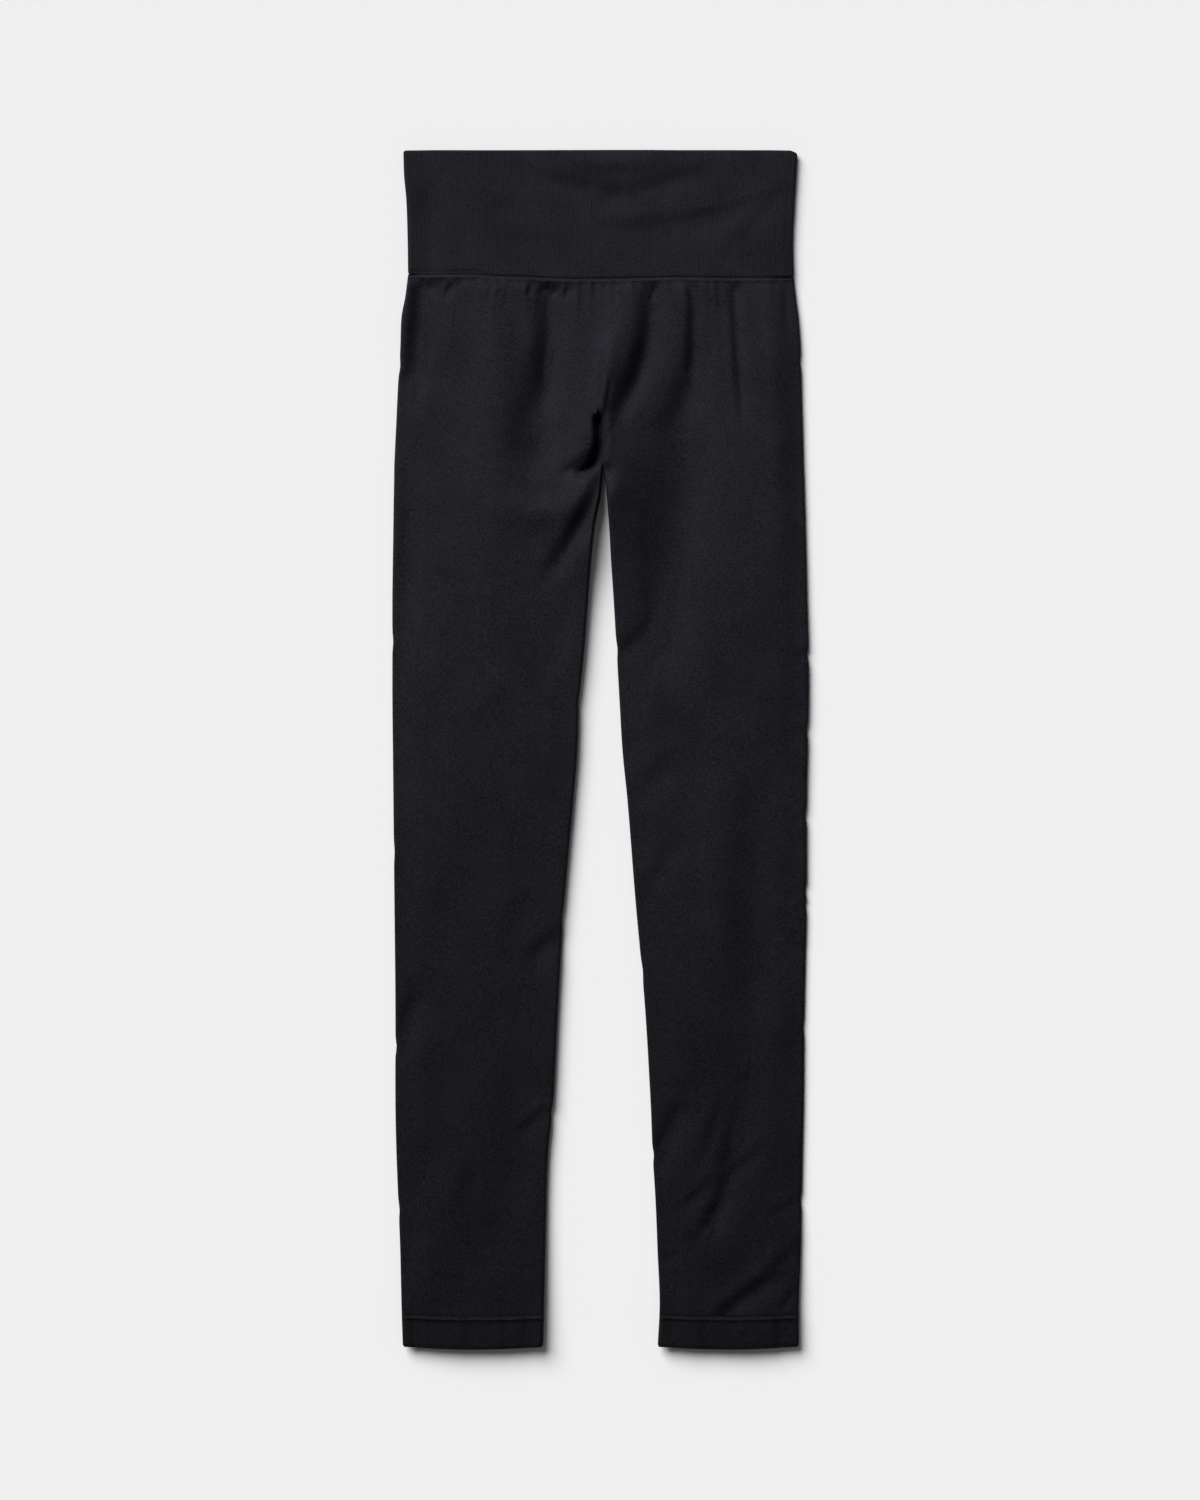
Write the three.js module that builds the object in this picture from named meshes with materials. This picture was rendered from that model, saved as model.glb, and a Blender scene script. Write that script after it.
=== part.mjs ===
// Seamless knitted leggings with a high ribbed waistband, laid flat on their back, in millimetres.
// X runs across the garment, Y up towards the waist, and Z up from the surface that it lies on.
// "down" is the distance below the waistband's top edge. Left and right are as seen from above.
// The cloth is five pieces: the waistband, two legs that each hold half of the body, and two turned hems.
import * as THREE from "three";

// Driving dimensions
const LENGTH = 955; // from the waistband's top edge to the corners of the hems
const WAISTBAND_HEIGHT = 100;
const CROTCH_DOWN = 250;
const HEM_HEIGHT = 25.8;
const HEM_BOW = 1.9; // how much lower a hem lies at its middle than at its corners
const BOW_LENGTH = 80; // how far above the lower edge that bow begins
const SEAM_GAP = 0.3; // between two pieces that are sewn together

// Cloth
const JERSEY = 1.2;
const DOUBLE_RIB = 2.4; // the waistband is folded double
const DOUBLE_JERSEY = 2.2; // so is a turned hem
const STEEPEST = 1.4; // on a slope the wall is up to this many times as high as it is thick
const INNER_SPACE = 0.9; // the least air between the front and the back, at the bottom of a fold

// Heights of the front above the surface
const WAISTBAND_LOFT = 8.4;
const WAISTBAND_EDGE = 6.4;
const BODY_LOFT = 8.8;
const SHIN_LOFT = 6.2;
const LEG_EDGE = 4.8;
const HEM_LOFT = 7.6;
const HEM_EDGE = 5.9;
const EDGE_SLOPE = 30; // how far in from a folded edge the front reaches its full height
const CROTCH_FADE = 130; // how far below the crotch the bunched inner edges stay high
const HEM_LIFT = 4.6; // how far a stiff hem stands clear of the surface
const HEM_LIFT_LENGTH = 180;

// The ribs of the waistband
const RIB_PITCH = 1.68;
const RIB_HEIGHT = 0.45;
const RIBBED_WIDTH = 301;
const RIBS = Math.round(RIBBED_WIDTH / RIB_PITCH);
const RIB_SIDE_STEPS = 12;
const PLAIN_EVERY = 12; // the plain inside has one column for this many columns outside
const ROUNDING = 0.6; // how far a folded edge of double cloth is rounded off
const RIB_FLOOR = { none: 1, full: 3 }; // the ribs die out between these heights, so the back rests flat
const CORNER = { drop: 3.6, width: 11, length: 20 }; // the band's top right corner is rounded off

// Steps of the grids round and down the legs
const BACK_STEPS = 4;
const FOLD_STEPS = 4;
const FRONT_STEPS = 20;
const HIP_STEPS = 18;
const CROTCH_STEPS = 5;
const THIGH_STEPS = 12;
const SHIN_STEPS = 9;
const CROTCH_ZONE = 50;
const SHIN_DOWN = 770;

// The outline from above: the side folds, the seam between the legs, and how far apart the legs lie.
const OUTLINE = [
  { down: 100, left: -153.8, seam: 0, gap: 0, right: 154.4 },
  { down: 118, left: -156.0, seam: -0.8, gap: 0, right: 156.4 },
  { down: 134, left: -159.0, seam: -1.6, gap: 0, right: 158.4 },
  { down: 158, left: -160.0, seam: -2.2, gap: 0, right: 160.0 },
  { down: 190, left: -162.0, seam: -1.6, gap: 0, right: 160.8 },
  { down: 220, left: -163.4, seam: 0.4, gap: 0, right: 161.6 },
  { down: 250, left: -164.8, seam: 1.8, gap: 0, right: 162.4 },
  { down: 262, left: -165.0, seam: 2.2, gap: 2.2, right: 162.8 },
  { down: 275, left: -165.2, seam: 2.6, gap: 4.4, right: 163.2 },
  { down: 286, left: -165.4, seam: 2.0, gap: 7.4, right: 163.6 },
  { down: 302, left: -165.6, seam: 1.2, gap: 11.6, right: 164.0 },
  { down: 328, left: -166.0, seam: 0.6, gap: 15.6, right: 164.6 },
  { down: 358, left: -166.4, seam: 0.4, gap: 20, right: 165.2 },
  { down: 400, left: -166.4, seam: 0, gap: 25.8, right: 166.4 },
  { down: 440, left: -166.4, seam: -0.8, gap: 32, right: 166.4 },
  { down: 480, left: -166.0, seam: -0.4, gap: 36, right: 165.6 },
  { down: 520, left: -165.6, seam: 0, gap: 43.2, right: 164.8 },
  { down: 600, left: -164.8, seam: -0.4, gap: 56.8, right: 164.8 },
  { down: 680, left: -164.0, seam: 0.8, gap: 68.8, right: 163.2 },
  { down: 760, left: -164.0, seam: 1.2, gap: 77.6, right: 162.4 },
  { down: 800, left: -163.2, seam: 0, gap: 83.2, right: 161.6 },
  { down: 840, left: -161.6, seam: 0.4, gap: 87.2, right: 160.8 },
  { down: 880, left: -160.0, seam: 0.8, gap: 89.6, right: 160.0 },
  { down: 920, left: -159.0, seam: 1.2, gap: 92, right: 158.4 },
  { down: 955, left: -157.8, seam: 0, gap: 91.2, right: 158.4 },
];

const WAISTBAND_OUTLINE = [
  { down: 0, left: -157.6, right: 157.4 },
  { down: 20, left: -157.0, right: 156.4 },
  { down: 40, left: -155.2, right: 155.2 },
  { down: 70, left: -154.2, right: 153.8 },
  { down: 100, left: -153.8, right: 154.4 },
];

// Where the cloth puffs up: the middle of each place, its reach across and along the garment, and its rise
const SWELLS = [
  { x: 1, down: 256, across: 44, along: 74, rise: 7.4 },
  { x: 2, down: 292, across: 30, along: 60, rise: 5.5 },
  { x: -93, down: 200, across: 20, along: 110, rise: 5.6 },
  { x: 64, down: 150, across: 16, along: 62, rise: 2.4 },
  { x: 122, down: 170, across: 22, along: 110, rise: 2 },
  { x: -132, down: 330, across: 26, along: 100, rise: 1.6 },
  { x: -92, down: 470, across: 46, along: 150, rise: 2.6 },
  { x: 98, down: 380, across: 36, along: 110, rise: 1.8 },
  { x: 96, down: 604, across: 17, along: 84, rise: 3.4 },
  { x: -112, down: 700, across: 40, along: 90, rise: 1.4 },
  { x: 104, down: 850, across: 40, along: 60, rise: 1.6 },
  { x: -104, down: 870, across: 36, along: 70, rise: 1.2 },
];

// How much higher the legs' inner folds stand than their side folds
const INNER_RISE = [
  { down: 200, left: 0, right: 0 },
  { down: 250, left: 1.5, right: 1.5 },
  { down: 275, left: 6, right: 4.5 },
  { down: 310, left: 9, right: 4.5 },
  { down: 350, left: 8, right: 3.4 },
  { down: 430, left: 4.6, right: 1.4 },
  { down: 600, left: 2.6, right: 0.6 },
  { down: 800, left: 2.8, right: 0.4 },
  { down: 955, left: 2.6, right: 0.4 },
];
const INNER_RISE_REACH = 18;

// The folds of the body and legs. Each is a soft trough along a curve from its start to its end, drawn
// towards its bend. It is steep on the side of its ridge, which is the garment's left for a curve that runs
// down it, or its right if the ridge is negative, and it eases out on the other side. steep and ease are half
// the breadths of the two sides. ends are the shares of its depth that are there at its start and at its end.
// A negative depth makes a raised fold.
const FOLD_COLUMNS = ["start", "bend", "end", "steep", "ease", "depth", "ridge", "ends"];
const named = (rows) => rows.map((row) => Object.fromEntries(FOLD_COLUMNS.map((name, i) => [name, row[i]])));

const FOLDS = named([
  // gathers under the waistband
  [[-43, 104], [-39, 150], [-49, 222], 9, 7, 5.6, 1.6, [0.75, 0.1]],
  [[-49, 186], [-54, 222], [-66, 252], 14, 14, 3.2, 0.4, [0.4, 0]],
  [[-21, 103], [-27, 110], [-28, 126], 5, 7, 1.6, 0.5, [1, 0]],
  [[-108, 103], [-121, 108], [-124, 130], 5, 8, 1.6, 0.5, [0.9, 0]],
  [[-84, 103], [-87, 114], [-91, 132], 5, 8, 1, 0.4, [0.7, 0]],
  [[-143, 100], [-145, 135], [-150, 174], 7, 9, 2.8, 0.6, [0.9, 0.5]],
  [[-154, 100], [-156, 130], [-159, 174], 5, 7, -3.6, 0, [0.9, 0.6]],
  [[39, 105], [46, 158], [16, 209], 8, 6, 5.4, 1, [0.6, 0.5]],
  [[73, 103], [75, 140], [72, 176], 5, 5, 1.8, 0.5, [0.8, 0.6]],
  [[73, 140], [74, 190], [44, 230], 11, 9, 3.6, 0.6, [0.3, 0]],
  [[107, 103], [108, 152], [114, 224], 5, 5, 1.8, 0.5, [0.8, 0]],
  [[14, 108], [10, 160], [-12, 226], 13, 13, -6, 0, [0.35, 0.35]],
  // the crotch: a deep hollow beside the seam that hooks to the left, and a drag line under it
  [[-2, 216], [4, 256], [-22, 258], 4.5, 6, 9.6, 0, [1, 0.1]],
  [[2, 258], [-3, 284], [-40, 340], 8, 6, 8, 0.8, [1, 0]],
  [[-78, 280], [-44, 300], [-8, 276], 12, 11, -3.2, 0, [0.1, 0.9]],
  // thighs and knees
  [[60, 206], [61, 300], [40, 392], 31, 12, 6.2, 0, [0.5, 0.6]],
  [[47, 376], [35, 388], [18, 399], 9, 7, 1.6, 0.5, [0.4, 0.8]],
  [[-149, 250], [-150, 320], [-153, 380], 8, 12, 1.9, 0.5, [0.1, 0.6]],
  [[66, 480], [50, 498], [30, 512], 10, 13, 1.6, 0.5, [0.1, 0.4]],
  [[120, 500], [124, 600], [118, 700], 18, 14, 1.9, 0, [0, 0]],
  // shins
  [[-44, 768], [-54, 779], [-70, 787], 7, 10, 1.4, 0.5, [0.7, 0]],
  [[-146, 668], [-154, 690], [-161, 716], 7, 10, 1.8, 0.5, [0.2, 0.8]],
  [[66, 756], [56, 778], [45, 803], 8, 11, 2.6, 0.5, [0.1, 0.8]],
  [[113, 750], [106, 800], [89, 848], 11, 11, 3.4, 0.6, [0.3, 0.6]],
  [[98, 828], [92, 850], [72, 866], 7, 9, 2, 0.5, [0.3, 0.4]],
  [[134, 898], [116, 907], [97, 924], 7, 9, 2.3, 0.9, [0.3, 0.8]],
  [[160, 872], [146, 884], [126, 902], 7, 10, 1.3, 0.7, [0.5, 0.3]],
]);

// Shallow waves of the waistband, in the same form
const WAISTBAND_WAVES = named([
  [[14, 29], [-26, 24], [-64, 13], 7, 13, 1.3, 0.5, [0.7, 0.2]],
  [[68, 11], [36, 19], [6, 29], 7, 9, 1.3, 0.5, [0.2, 0.6]],
  [[150, 28], [84, 54], [-12, 56], 6, 13, 1.2, 0.6, [0.3, 0.1]],
  [[-141, 14], [-135, 60], [-140, 99], 11, 10, 1.5, 0.6, [0.3, 0.7]],
  [[149, 44], [151, 76], [152, 99], 5, 7, 1.2, 0.3, [0.1, 0.9]],
]);
const RIDGE_DISTANCE = 1.7; // from a trough to its ridge, in steep breadths
const SEWN_FADE = 12; // the waist seam holds the cloth level, and the folds open out over this length below it
const FOLD_POINTS = 14;

const mix = (a, b, share) => a + (b - a) * share;
const clamp = (value, low, high) => Math.min(Math.max(value, low), high);
const smooth = (value) => THREE.MathUtils.smoothstep(value, 0, 1);

// A smooth curve through one column of a table, read at a distance down the garment
function follow(table, column, down) {
  const last = table.length - 1;
  let i = 0;
  while (i < last - 1 && table[i + 1].down <= down) i += 1;
  const slope = (k) => {
    const before = table[Math.max(k - 1, 0)];
    const after = table[Math.min(k + 1, last)];
    return (after[column] - before[column]) / (after.down - before.down);
  };
  const step = table[i + 1].down - table[i].down;
  const t = clamp((down - table[i].down) / step, 0, 1);
  const fall = 2 * t ** 3 - 3 * t ** 2 + 1;
  return (
    fall * table[i][column] +
    (1 - fall) * table[i + 1][column] +
    step * (slope(i) * (t ** 3 - 2 * t ** 2 + t) + slope(i + 1) * (t ** 3 - t ** 2))
  );
}

// The points of a fold's curve, with the share of its depth at each
function traced(fold) {
  const points = [fold.start, fold.bend, fold.end].map(([x, down]) => new THREE.Vector2(x, down));
  return new THREE.QuadraticBezierCurve(...points).getPoints(FOLD_POINTS).map((point, i) => {
    const t = i / FOLD_POINTS;
    const least = mix(...fold.ends, t);
    return { point, strength: least + (1 - least) * Math.sin(Math.PI * t) };
  });
}

// How far a set of folds raises or lowers the cloth at a place
function foldHeight(folds, x, down) {
  let height = 0;
  for (const { trace, steep, ease, depth, ridge } of folds) {
    let nearest = { distance: Infinity };
    for (let i = 0; i < FOLD_POINTS; i += 1) {
      const a = trace[i].point;
      const along = trace[i + 1].point.clone().sub(a);
      const offset = new THREE.Vector2(x, down).sub(a);
      const t = clamp(offset.dot(along) / along.lengthSq(), 0, 1);
      const away = offset.addScaledVector(along, -t);
      if (away.length() < nearest.distance)
        nearest = {
          distance: away.length(),
          side: Math.sign(along.cross(away)) || 1,
          strength: mix(trace[i].strength, trace[i + 1].strength, t),
        };
    }
    const towardsRidge = nearest.side * (ridge < 0 ? -1 : 1) * nearest.distance;
    const trough = Math.exp(-((towardsRidge / (towardsRidge > 0 ? steep : ease)) ** 2));
    const beside = Math.exp(-((towardsRidge / steep - RIDGE_DISTANCE) ** 2));
    height += nearest.strength * (Math.abs(ridge) * beside - depth * trough);
  }
  return height;
}

// How far the cloth puffs up at a place
function swellHeight(x, down) {
  const heights = SWELLS.map((swell) => {
    const away = ((x - swell.x) / swell.across) ** 2 + ((down - swell.down) / swell.along) ** 2;
    return swell.rise * Math.exp(-away);
  });
  return heights.reduce((sum, height) => sum + height);
}

const FOLD_TRACES = FOLDS.map((fold) => ({ ...fold, trace: traced(fold) }));
const WAVE_TRACES = WAISTBAND_WAVES.map((fold) => ({ ...fold, trace: traced(fold) }));

// How much lower the middle of a leg lies than its edges, from the share of the way across it
const bow = (share, down) =>
  HEM_BOW * Math.sin(Math.PI * share) * clamp((down - LENGTH) / BOW_LENGTH + 1, 0, 1);

// How far the back stands clear of the surface, which is only near a hem
const lift = (down) => HEM_LIFT * smooth((down - LENGTH + HEM_LIFT_LENGTH) / HEM_LIFT_LENGTH) ** 2;

// Width of the gap between the legs, which starts at the crotch
const parting = (down) => (down < CROTCH_DOWN ? 0 : Math.max(follow(OUTLINE, "gap", down), 0));

// How much the inner folds of the legs lift the cloth at a place
function innerRise(x, down) {
  const fromSeam = x - follow(OUTLINE, "seam", down);
  const fromInner = Math.max(Math.abs(fromSeam) - parting(down) / 2, 0);
  const rise = follow(INNER_RISE, fromSeam < 0 ? "left" : "right", down);
  return rise * Math.exp(-((fromInner / INNER_RISE_REACH) ** 2));
}

// Thickness of the laid garment at a place on the body or a leg
function legHeight(x, down) {
  const left = follow(OUTLINE, "left", down);
  const right = follow(OUTLINE, "right", down);
  const fromSeam = Math.abs(x - follow(OUTLINE, "seam", down));
  const fromSide = Math.min(x - left, right - x);
  const fromInner = fromSeam - parting(down) / 2;
  const across = mix(1, smooth(fromInner / EDGE_SLOPE), smooth((down - CROTCH_DOWN) / CROTCH_FADE));
  const rise = smooth(fromSide / EDGE_SLOPE) * across;
  const loft = mix(BODY_LOFT, SHIN_LOFT, smooth((down - CROTCH_DOWN) / (SHIN_DOWN - CROTCH_DOWN)));
  const relief = swellHeight(x, down) * rise + innerRise(x, down) + foldHeight(FOLD_TRACES, x, down);
  const height = mix(LEG_EDGE, loft, rise) + relief * smooth((down - WAISTBAND_HEIGHT) / SEWN_FADE);
  return Math.max(height, 2 * JERSEY + INNER_SPACE);
}

// The same of a hem
function hemHeight(x, down, leg) {
  const fromEdge = Math.min(Math.abs(x - leg.side(down)), Math.abs(x - leg.inner(down)));
  return mix(HEM_EDGE, HEM_LOFT, smooth(fromEdge / EDGE_SLOPE)) + innerRise(x, down);
}

// The same of the waistband
function waistbandHeight(x, down) {
  const left = follow(WAISTBAND_OUTLINE, "left", down);
  const right = follow(WAISTBAND_OUTLINE, "right", down);
  const rise = smooth(Math.min(x - left, right - x) / EDGE_SLOPE);
  const height = mix(WAISTBAND_EDGE, WAISTBAND_LOFT, rise) + foldHeight(WAVE_TRACES, x, down);
  return Math.max(height, 2 * DOUBLE_RIB + INNER_SPACE);
}

// The points of one section of a flattened tube, at a depth below its outer surface.
// It runs along the back from one edge to the other, up round that edge, along the front and down round the
// first.
// An open section has cut edges in place of the fold at its first edge.
function section({ first, second, radius, height, floor, wall, depth, frontShares, foldSteps, open }) {
  const inwards = Math.sign(second - first);
  const near = open ? first : first + inwards * radius;
  const far = second - inwards * radius;
  const points = [];
  const place = (x, z, share) => points.push({ x, z, share });
  for (let i = 0; i <= BACK_STEPS; i += 1) {
    const share = i / BACK_STEPS;
    place(mix(near, far, share), floor + depth, share);
  }
  const turn = (x, side, i) => {
    const angle = Math.PI * (i / foldSteps - 0.5);
    const half = height(x) / 2;
    place(x + side * (radius - depth) * Math.cos(angle), floor + half + (half - depth) * Math.sin(angle), 1);
  };
  for (let i = 1; i < foldSteps; i += 1) turn(far, inwards, i);
  for (const share of frontShares) {
    const x = mix(far, near, share);
    const slope = height(x + 0.5) - height(x - 0.5);
    const steepness = Math.min(Math.hypot(1, slope), STEEPEST);
    const below = depth < wall / 2 ? depth : depth * steepness;
    place(x, floor + height(x) - below, 1 - share);
  }
  for (let i = foldSteps - 1; i > 0; i -= 1) turn(near, -inwards, i);
  return points;
}

// A wall of cloth between an outer and an inner grid of points, as one closed mesh.
// Rows run down the garment and columns go round it. Every free edge of the cells that hold cloth gets a rim.
function clothWall(outer, inner, holdsCloth = () => true) {
  const rows = outer.length;
  const columns = outer[0].length;
  const corners = [...outer.flat(), ...inner.flat()];
  const triangles = [];
  const quad = (a, b, c, d) => triangles.push(a, b, c, a, c, d);
  const cloth = (row, column) => row >= 0 && row < rows - 1 && holdsCloth(row, (column + columns) % columns);
  for (let row = 0; row < rows - 1; row += 1)
    for (let column = 0; column < columns; column += 1) {
      if (!cloth(row, column)) continue;
      const next = (column + 1) % columns;
      const [a, b, c, d] = [
        row * columns + column,
        (row + 1) * columns + column,
        (row + 1) * columns + next,
        row * columns + next,
      ];
      const [e, f, g, h] = [a, b, c, d].map((index) => index + rows * columns);
      quad(a, b, c, d);
      quad(e, h, g, f);
      if (!cloth(row - 1, column)) quad(a, d, h, e);
      if (!cloth(row + 1, column)) quad(c, b, f, g);
      if (!cloth(row, column - 1)) quad(b, a, e, f);
      if (!cloth(row, column + 1)) quad(d, c, g, h);
    }
  return closedMesh(corners, triangles);
}

// A ribbed wall: a fine outer grid over a plain inner one, which has only some of its columns
function ribbedWall(outer, inner, innerColumns) {
  const fine = outer[0].length;
  const plain = innerColumns.length;
  const start = outer.length * fine;
  const innerGrid = inner.map((row) => innerColumns.map((column) => row[column]));
  const triangles = [];
  const skin = (first, rows, columns, corner) => {
    for (let row = 0; row < rows - 1; row += 1)
      for (let column = 0; column < columns; column += 1) {
        const next = (column + 1) % columns;
        const [a, b, c, d] = corner(
          first + row * columns + column,
          first + (row + 1) * columns + column,
          first + (row + 1) * columns + next,
          first + row * columns + next,
        );
        triangles.push(a, b, c, a, c, d);
      }
  };
  skin(0, outer.length, fine, (a, b, c, d) => [a, b, c, d]);
  skin(start, inner.length, plain, (a, b, c, d) => [a, d, c, b]);
  const rim = (outerRow, innerRow, order) => {
    for (let i = 0; i < plain; i += 1) {
      const from = innerColumns[i];
      const to = i + 1 < plain ? innerColumns[i + 1] : fine;
      const middle = Math.floor((from + to) / 2);
      const here = start + innerRow * plain + i;
      const there = start + innerRow * plain + ((i + 1) % plain);
      for (let k = from; k < to; k += 1)
        triangles.push(
          ...order(outerRow * fine + k, outerRow * fine + ((k + 1) % fine), k < middle ? here : there),
        );
      triangles.push(...order(outerRow * fine + (middle % fine), there, here));
    }
  };
  rim(0, 0, (a, b, c) => [a, b, c]);
  rim(outer.length - 1, inner.length - 1, (a, b, c) => [a, c, b]);
  return closedMesh([...outer.flat(), ...innerGrid.flat()], triangles);
}

// A geometry from corners and triangles, turned so that its faces point out
function closedMesh(corners, triangles) {
  const positions = new Float32Array(corners.flatMap(({ x, y, z }) => [x, y, z]));
  const at = (index) => new THREE.Vector3().fromArray(positions, 3 * index);
  let volume = 0;
  for (let i = 0; i < triangles.length; i += 3)
    volume += at(triangles[i]).dot(at(triangles[i + 1]).cross(at(triangles[i + 2])));
  if (volume < 0)
    for (let i = 0; i < triangles.length; i += 3)
      [triangles[i + 1], triangles[i + 2]] = [triangles[i + 2], triangles[i + 1]];
  const geometry = new THREE.BufferGeometry();
  geometry.setAttribute("position", new THREE.BufferAttribute(positions, 3));
  geometry.setIndex(triangles);
  geometry.computeVertexNormals();
  return geometry;
}

const downToY = (down) => (LENGTH + HEM_BOW) / 2 - down;
const steps = (from, to, count) => Array.from({ length: count }, (_, i) => mix(from, to, i / count));

// Columns across a leg's front, closer together towards the inner fold, where the deep folds are
const FRONT_SHARES = Array.from({ length: FRONT_STEPS + 1 }, (_, i) => {
  const share = i / FRONT_STEPS;
  return mix(share, Math.sin((share * Math.PI) / 2), 0.4);
});

const LEGS = {
  left: {
    side: (down) => follow(OUTLINE, "left", down),
    inner: (down) => follow(OUTLINE, "seam", down) - (parting(down) + SEAM_GAP) / 2,
  },
  right: {
    side: (down) => follow(OUTLINE, "right", down),
    inner: (down) => follow(OUTLINE, "seam", down) + (parting(down) + SEAM_GAP) / 2,
  },
};

// One leg with its half of the body. Above the crotch its section is open at the centre seam.
function legGeometry(leg) {
  const waist = WAISTBAND_HEIGHT + SEAM_GAP;
  const hem = LENGTH - HEM_HEIGHT - SEAM_GAP;
  const downs = [
    ...steps(waist, CROTCH_DOWN, HIP_STEPS),
    ...steps(CROTCH_DOWN, CROTCH_DOWN + CROTCH_ZONE, CROTCH_STEPS),
    ...steps(CROTCH_DOWN + CROTCH_ZONE, SHIN_DOWN, THIGH_STEPS),
    ...steps(SHIN_DOWN, hem, SHIN_STEPS),
    hem,
  ];
  const grid = (depth) =>
    downs.map((down) =>
      section({
        first: leg.inner(down),
        second: leg.side(down),
        radius: LEG_EDGE / 2,
        height: (x) => legHeight(x, down),
        floor: lift(down),
        wall: JERSEY,
        depth,
        frontShares: FRONT_SHARES,
        foldSteps: FOLD_STEPS,
        open: down < CROTCH_DOWN,
      }).map(({ x, z, share }) => ({ x, y: downToY(down + bow(share, down)), z })),
    );
  const frontEnd = BACK_STEPS + FOLD_STEPS + FRONT_STEPS;
  return clothWall(grid(0), grid(JERSEY), (row, column) => row >= HIP_STEPS || column < frontEnd);
}

// A turned hem: a short ring of double cloth, rounded where it is folded at its lower edge
function hemGeometry(leg) {
  const top = LENGTH - HEM_HEIGHT;
  const rows = [
    { down: top, tuck: 0 },
    { down: mix(top, LENGTH, 0.5), tuck: 0 },
    { down: LENGTH - ROUNDING, tuck: 0 },
    { down: LENGTH, tuck: ROUNDING },
  ];
  const grid = (isInner) =>
    rows.map(({ down, tuck }) =>
      section({
        first: leg.inner(down),
        second: leg.side(down),
        radius: HEM_EDGE / 2,
        height: (x) => hemHeight(x, down, leg),
        floor: lift(down),
        wall: DOUBLE_JERSEY,
        depth: isInner ? DOUBLE_JERSEY - tuck : tuck,
        frontShares: FRONT_SHARES,
        foldSteps: FOLD_STEPS,
        open: false,
      }).map(({ x, z, share }) => ({ x, y: downToY(down + bow(share, down)), z })),
    );
  return clothWall(grid(false), grid(true));
}

// The waistband: double rib, rounded where it is folded at its top edge, with ribs over its front and sides
function waistbandGeometry() {
  const rows = [
    { down: 0, tuck: ROUNDING },
    { down: ROUNDING, tuck: 0 },
    { down: 22, tuck: 0 },
    { down: 58, tuck: 0 },
    { down: WAISTBAND_HEIGHT, tuck: 0 },
  ];
  const backEnd = BACK_STEPS + 1;
  const ribbedEnd = backEnd + 2 * RIBS + 2 * RIB_SIDE_STEPS;
  const grid = (isInner) =>
    rows.map(({ down, tuck }) => {
      const left = follow(WAISTBAND_OUTLINE, "left", down);
      const right = follow(WAISTBAND_OUTLINE, "right", down);
      return section({
        first: left,
        second: right,
        radius: WAISTBAND_EDGE / 2,
        height: (x) => waistbandHeight(x, down),
        floor: 0,
        wall: DOUBLE_RIB,
        depth: isInner ? DOUBLE_RIB - tuck : tuck,
        frontShares: Array.from({ length: 2 * RIBS + 1 }, (_, i) => i / (2 * RIBS)),
        foldSteps: RIB_SIDE_STEPS,
        open: false,
      }).map(({ x, z }, column) => {
        const isCrest = (column - backEnd) % 2 === 0;
        const isRibbed = !isInner && column >= backEnd && column < ribbedEnd;
        const clearOfFloor = smooth((z - RIB_FLOOR.none) / (RIB_FLOOR.full - RIB_FLOOR.none));
        const raise = isRibbed && isCrest ? RIB_HEIGHT * clearOfFloor : 0;
        const corner = CORNER.drop * smooth((x - right) / CORNER.width + 1) ** 2;
        return { x, y: downToY(down + corner * (1 - smooth(down / CORNER.length))), z: z + raise };
      });
    });
  const columns = ribbedEnd - 1;
  const isKept = (column) => column < backEnd || column >= columns || (column - backEnd) % PLAIN_EVERY === 0;
  const innerColumns = Array.from({ length: columns }, (_, column) => column).filter(isKept);
  return ribbedWall(grid(false), grid(true), innerColumns);
}

const BLACK_KNIT = { color: 0x202025, roughness: 0.9, metalness: 0 };

function piece(name, geometry) {
  const mesh = new THREE.Mesh(geometry, new THREE.MeshStandardMaterial(BLACK_KNIT));
  mesh.name = name;
  return mesh;
}

const leggings = new THREE.Group();
leggings.add(
  piece("waistband", waistbandGeometry()),
  piece("left_leg", legGeometry(LEGS.left)),
  piece("right_leg", legGeometry(LEGS.right)),
  piece("left_hem", hemGeometry(LEGS.left)),
  piece("right_hem", hemGeometry(LEGS.right)),
);

export default leggings;
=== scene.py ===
# %% [markdown]
# # Black seamless leggings, laid flat
# The garment lies on its back on a pale surface and is seen from straight above. Each cloth piece is one
# flattened tube of knit: a ribbed waistband, two legs that each hold half of the body, and two turned hems.
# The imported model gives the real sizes. This lesson dresses it with thin shells of cloth that have every
# crease, and with the ribs, seams and stitches.

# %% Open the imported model
import math

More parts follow.
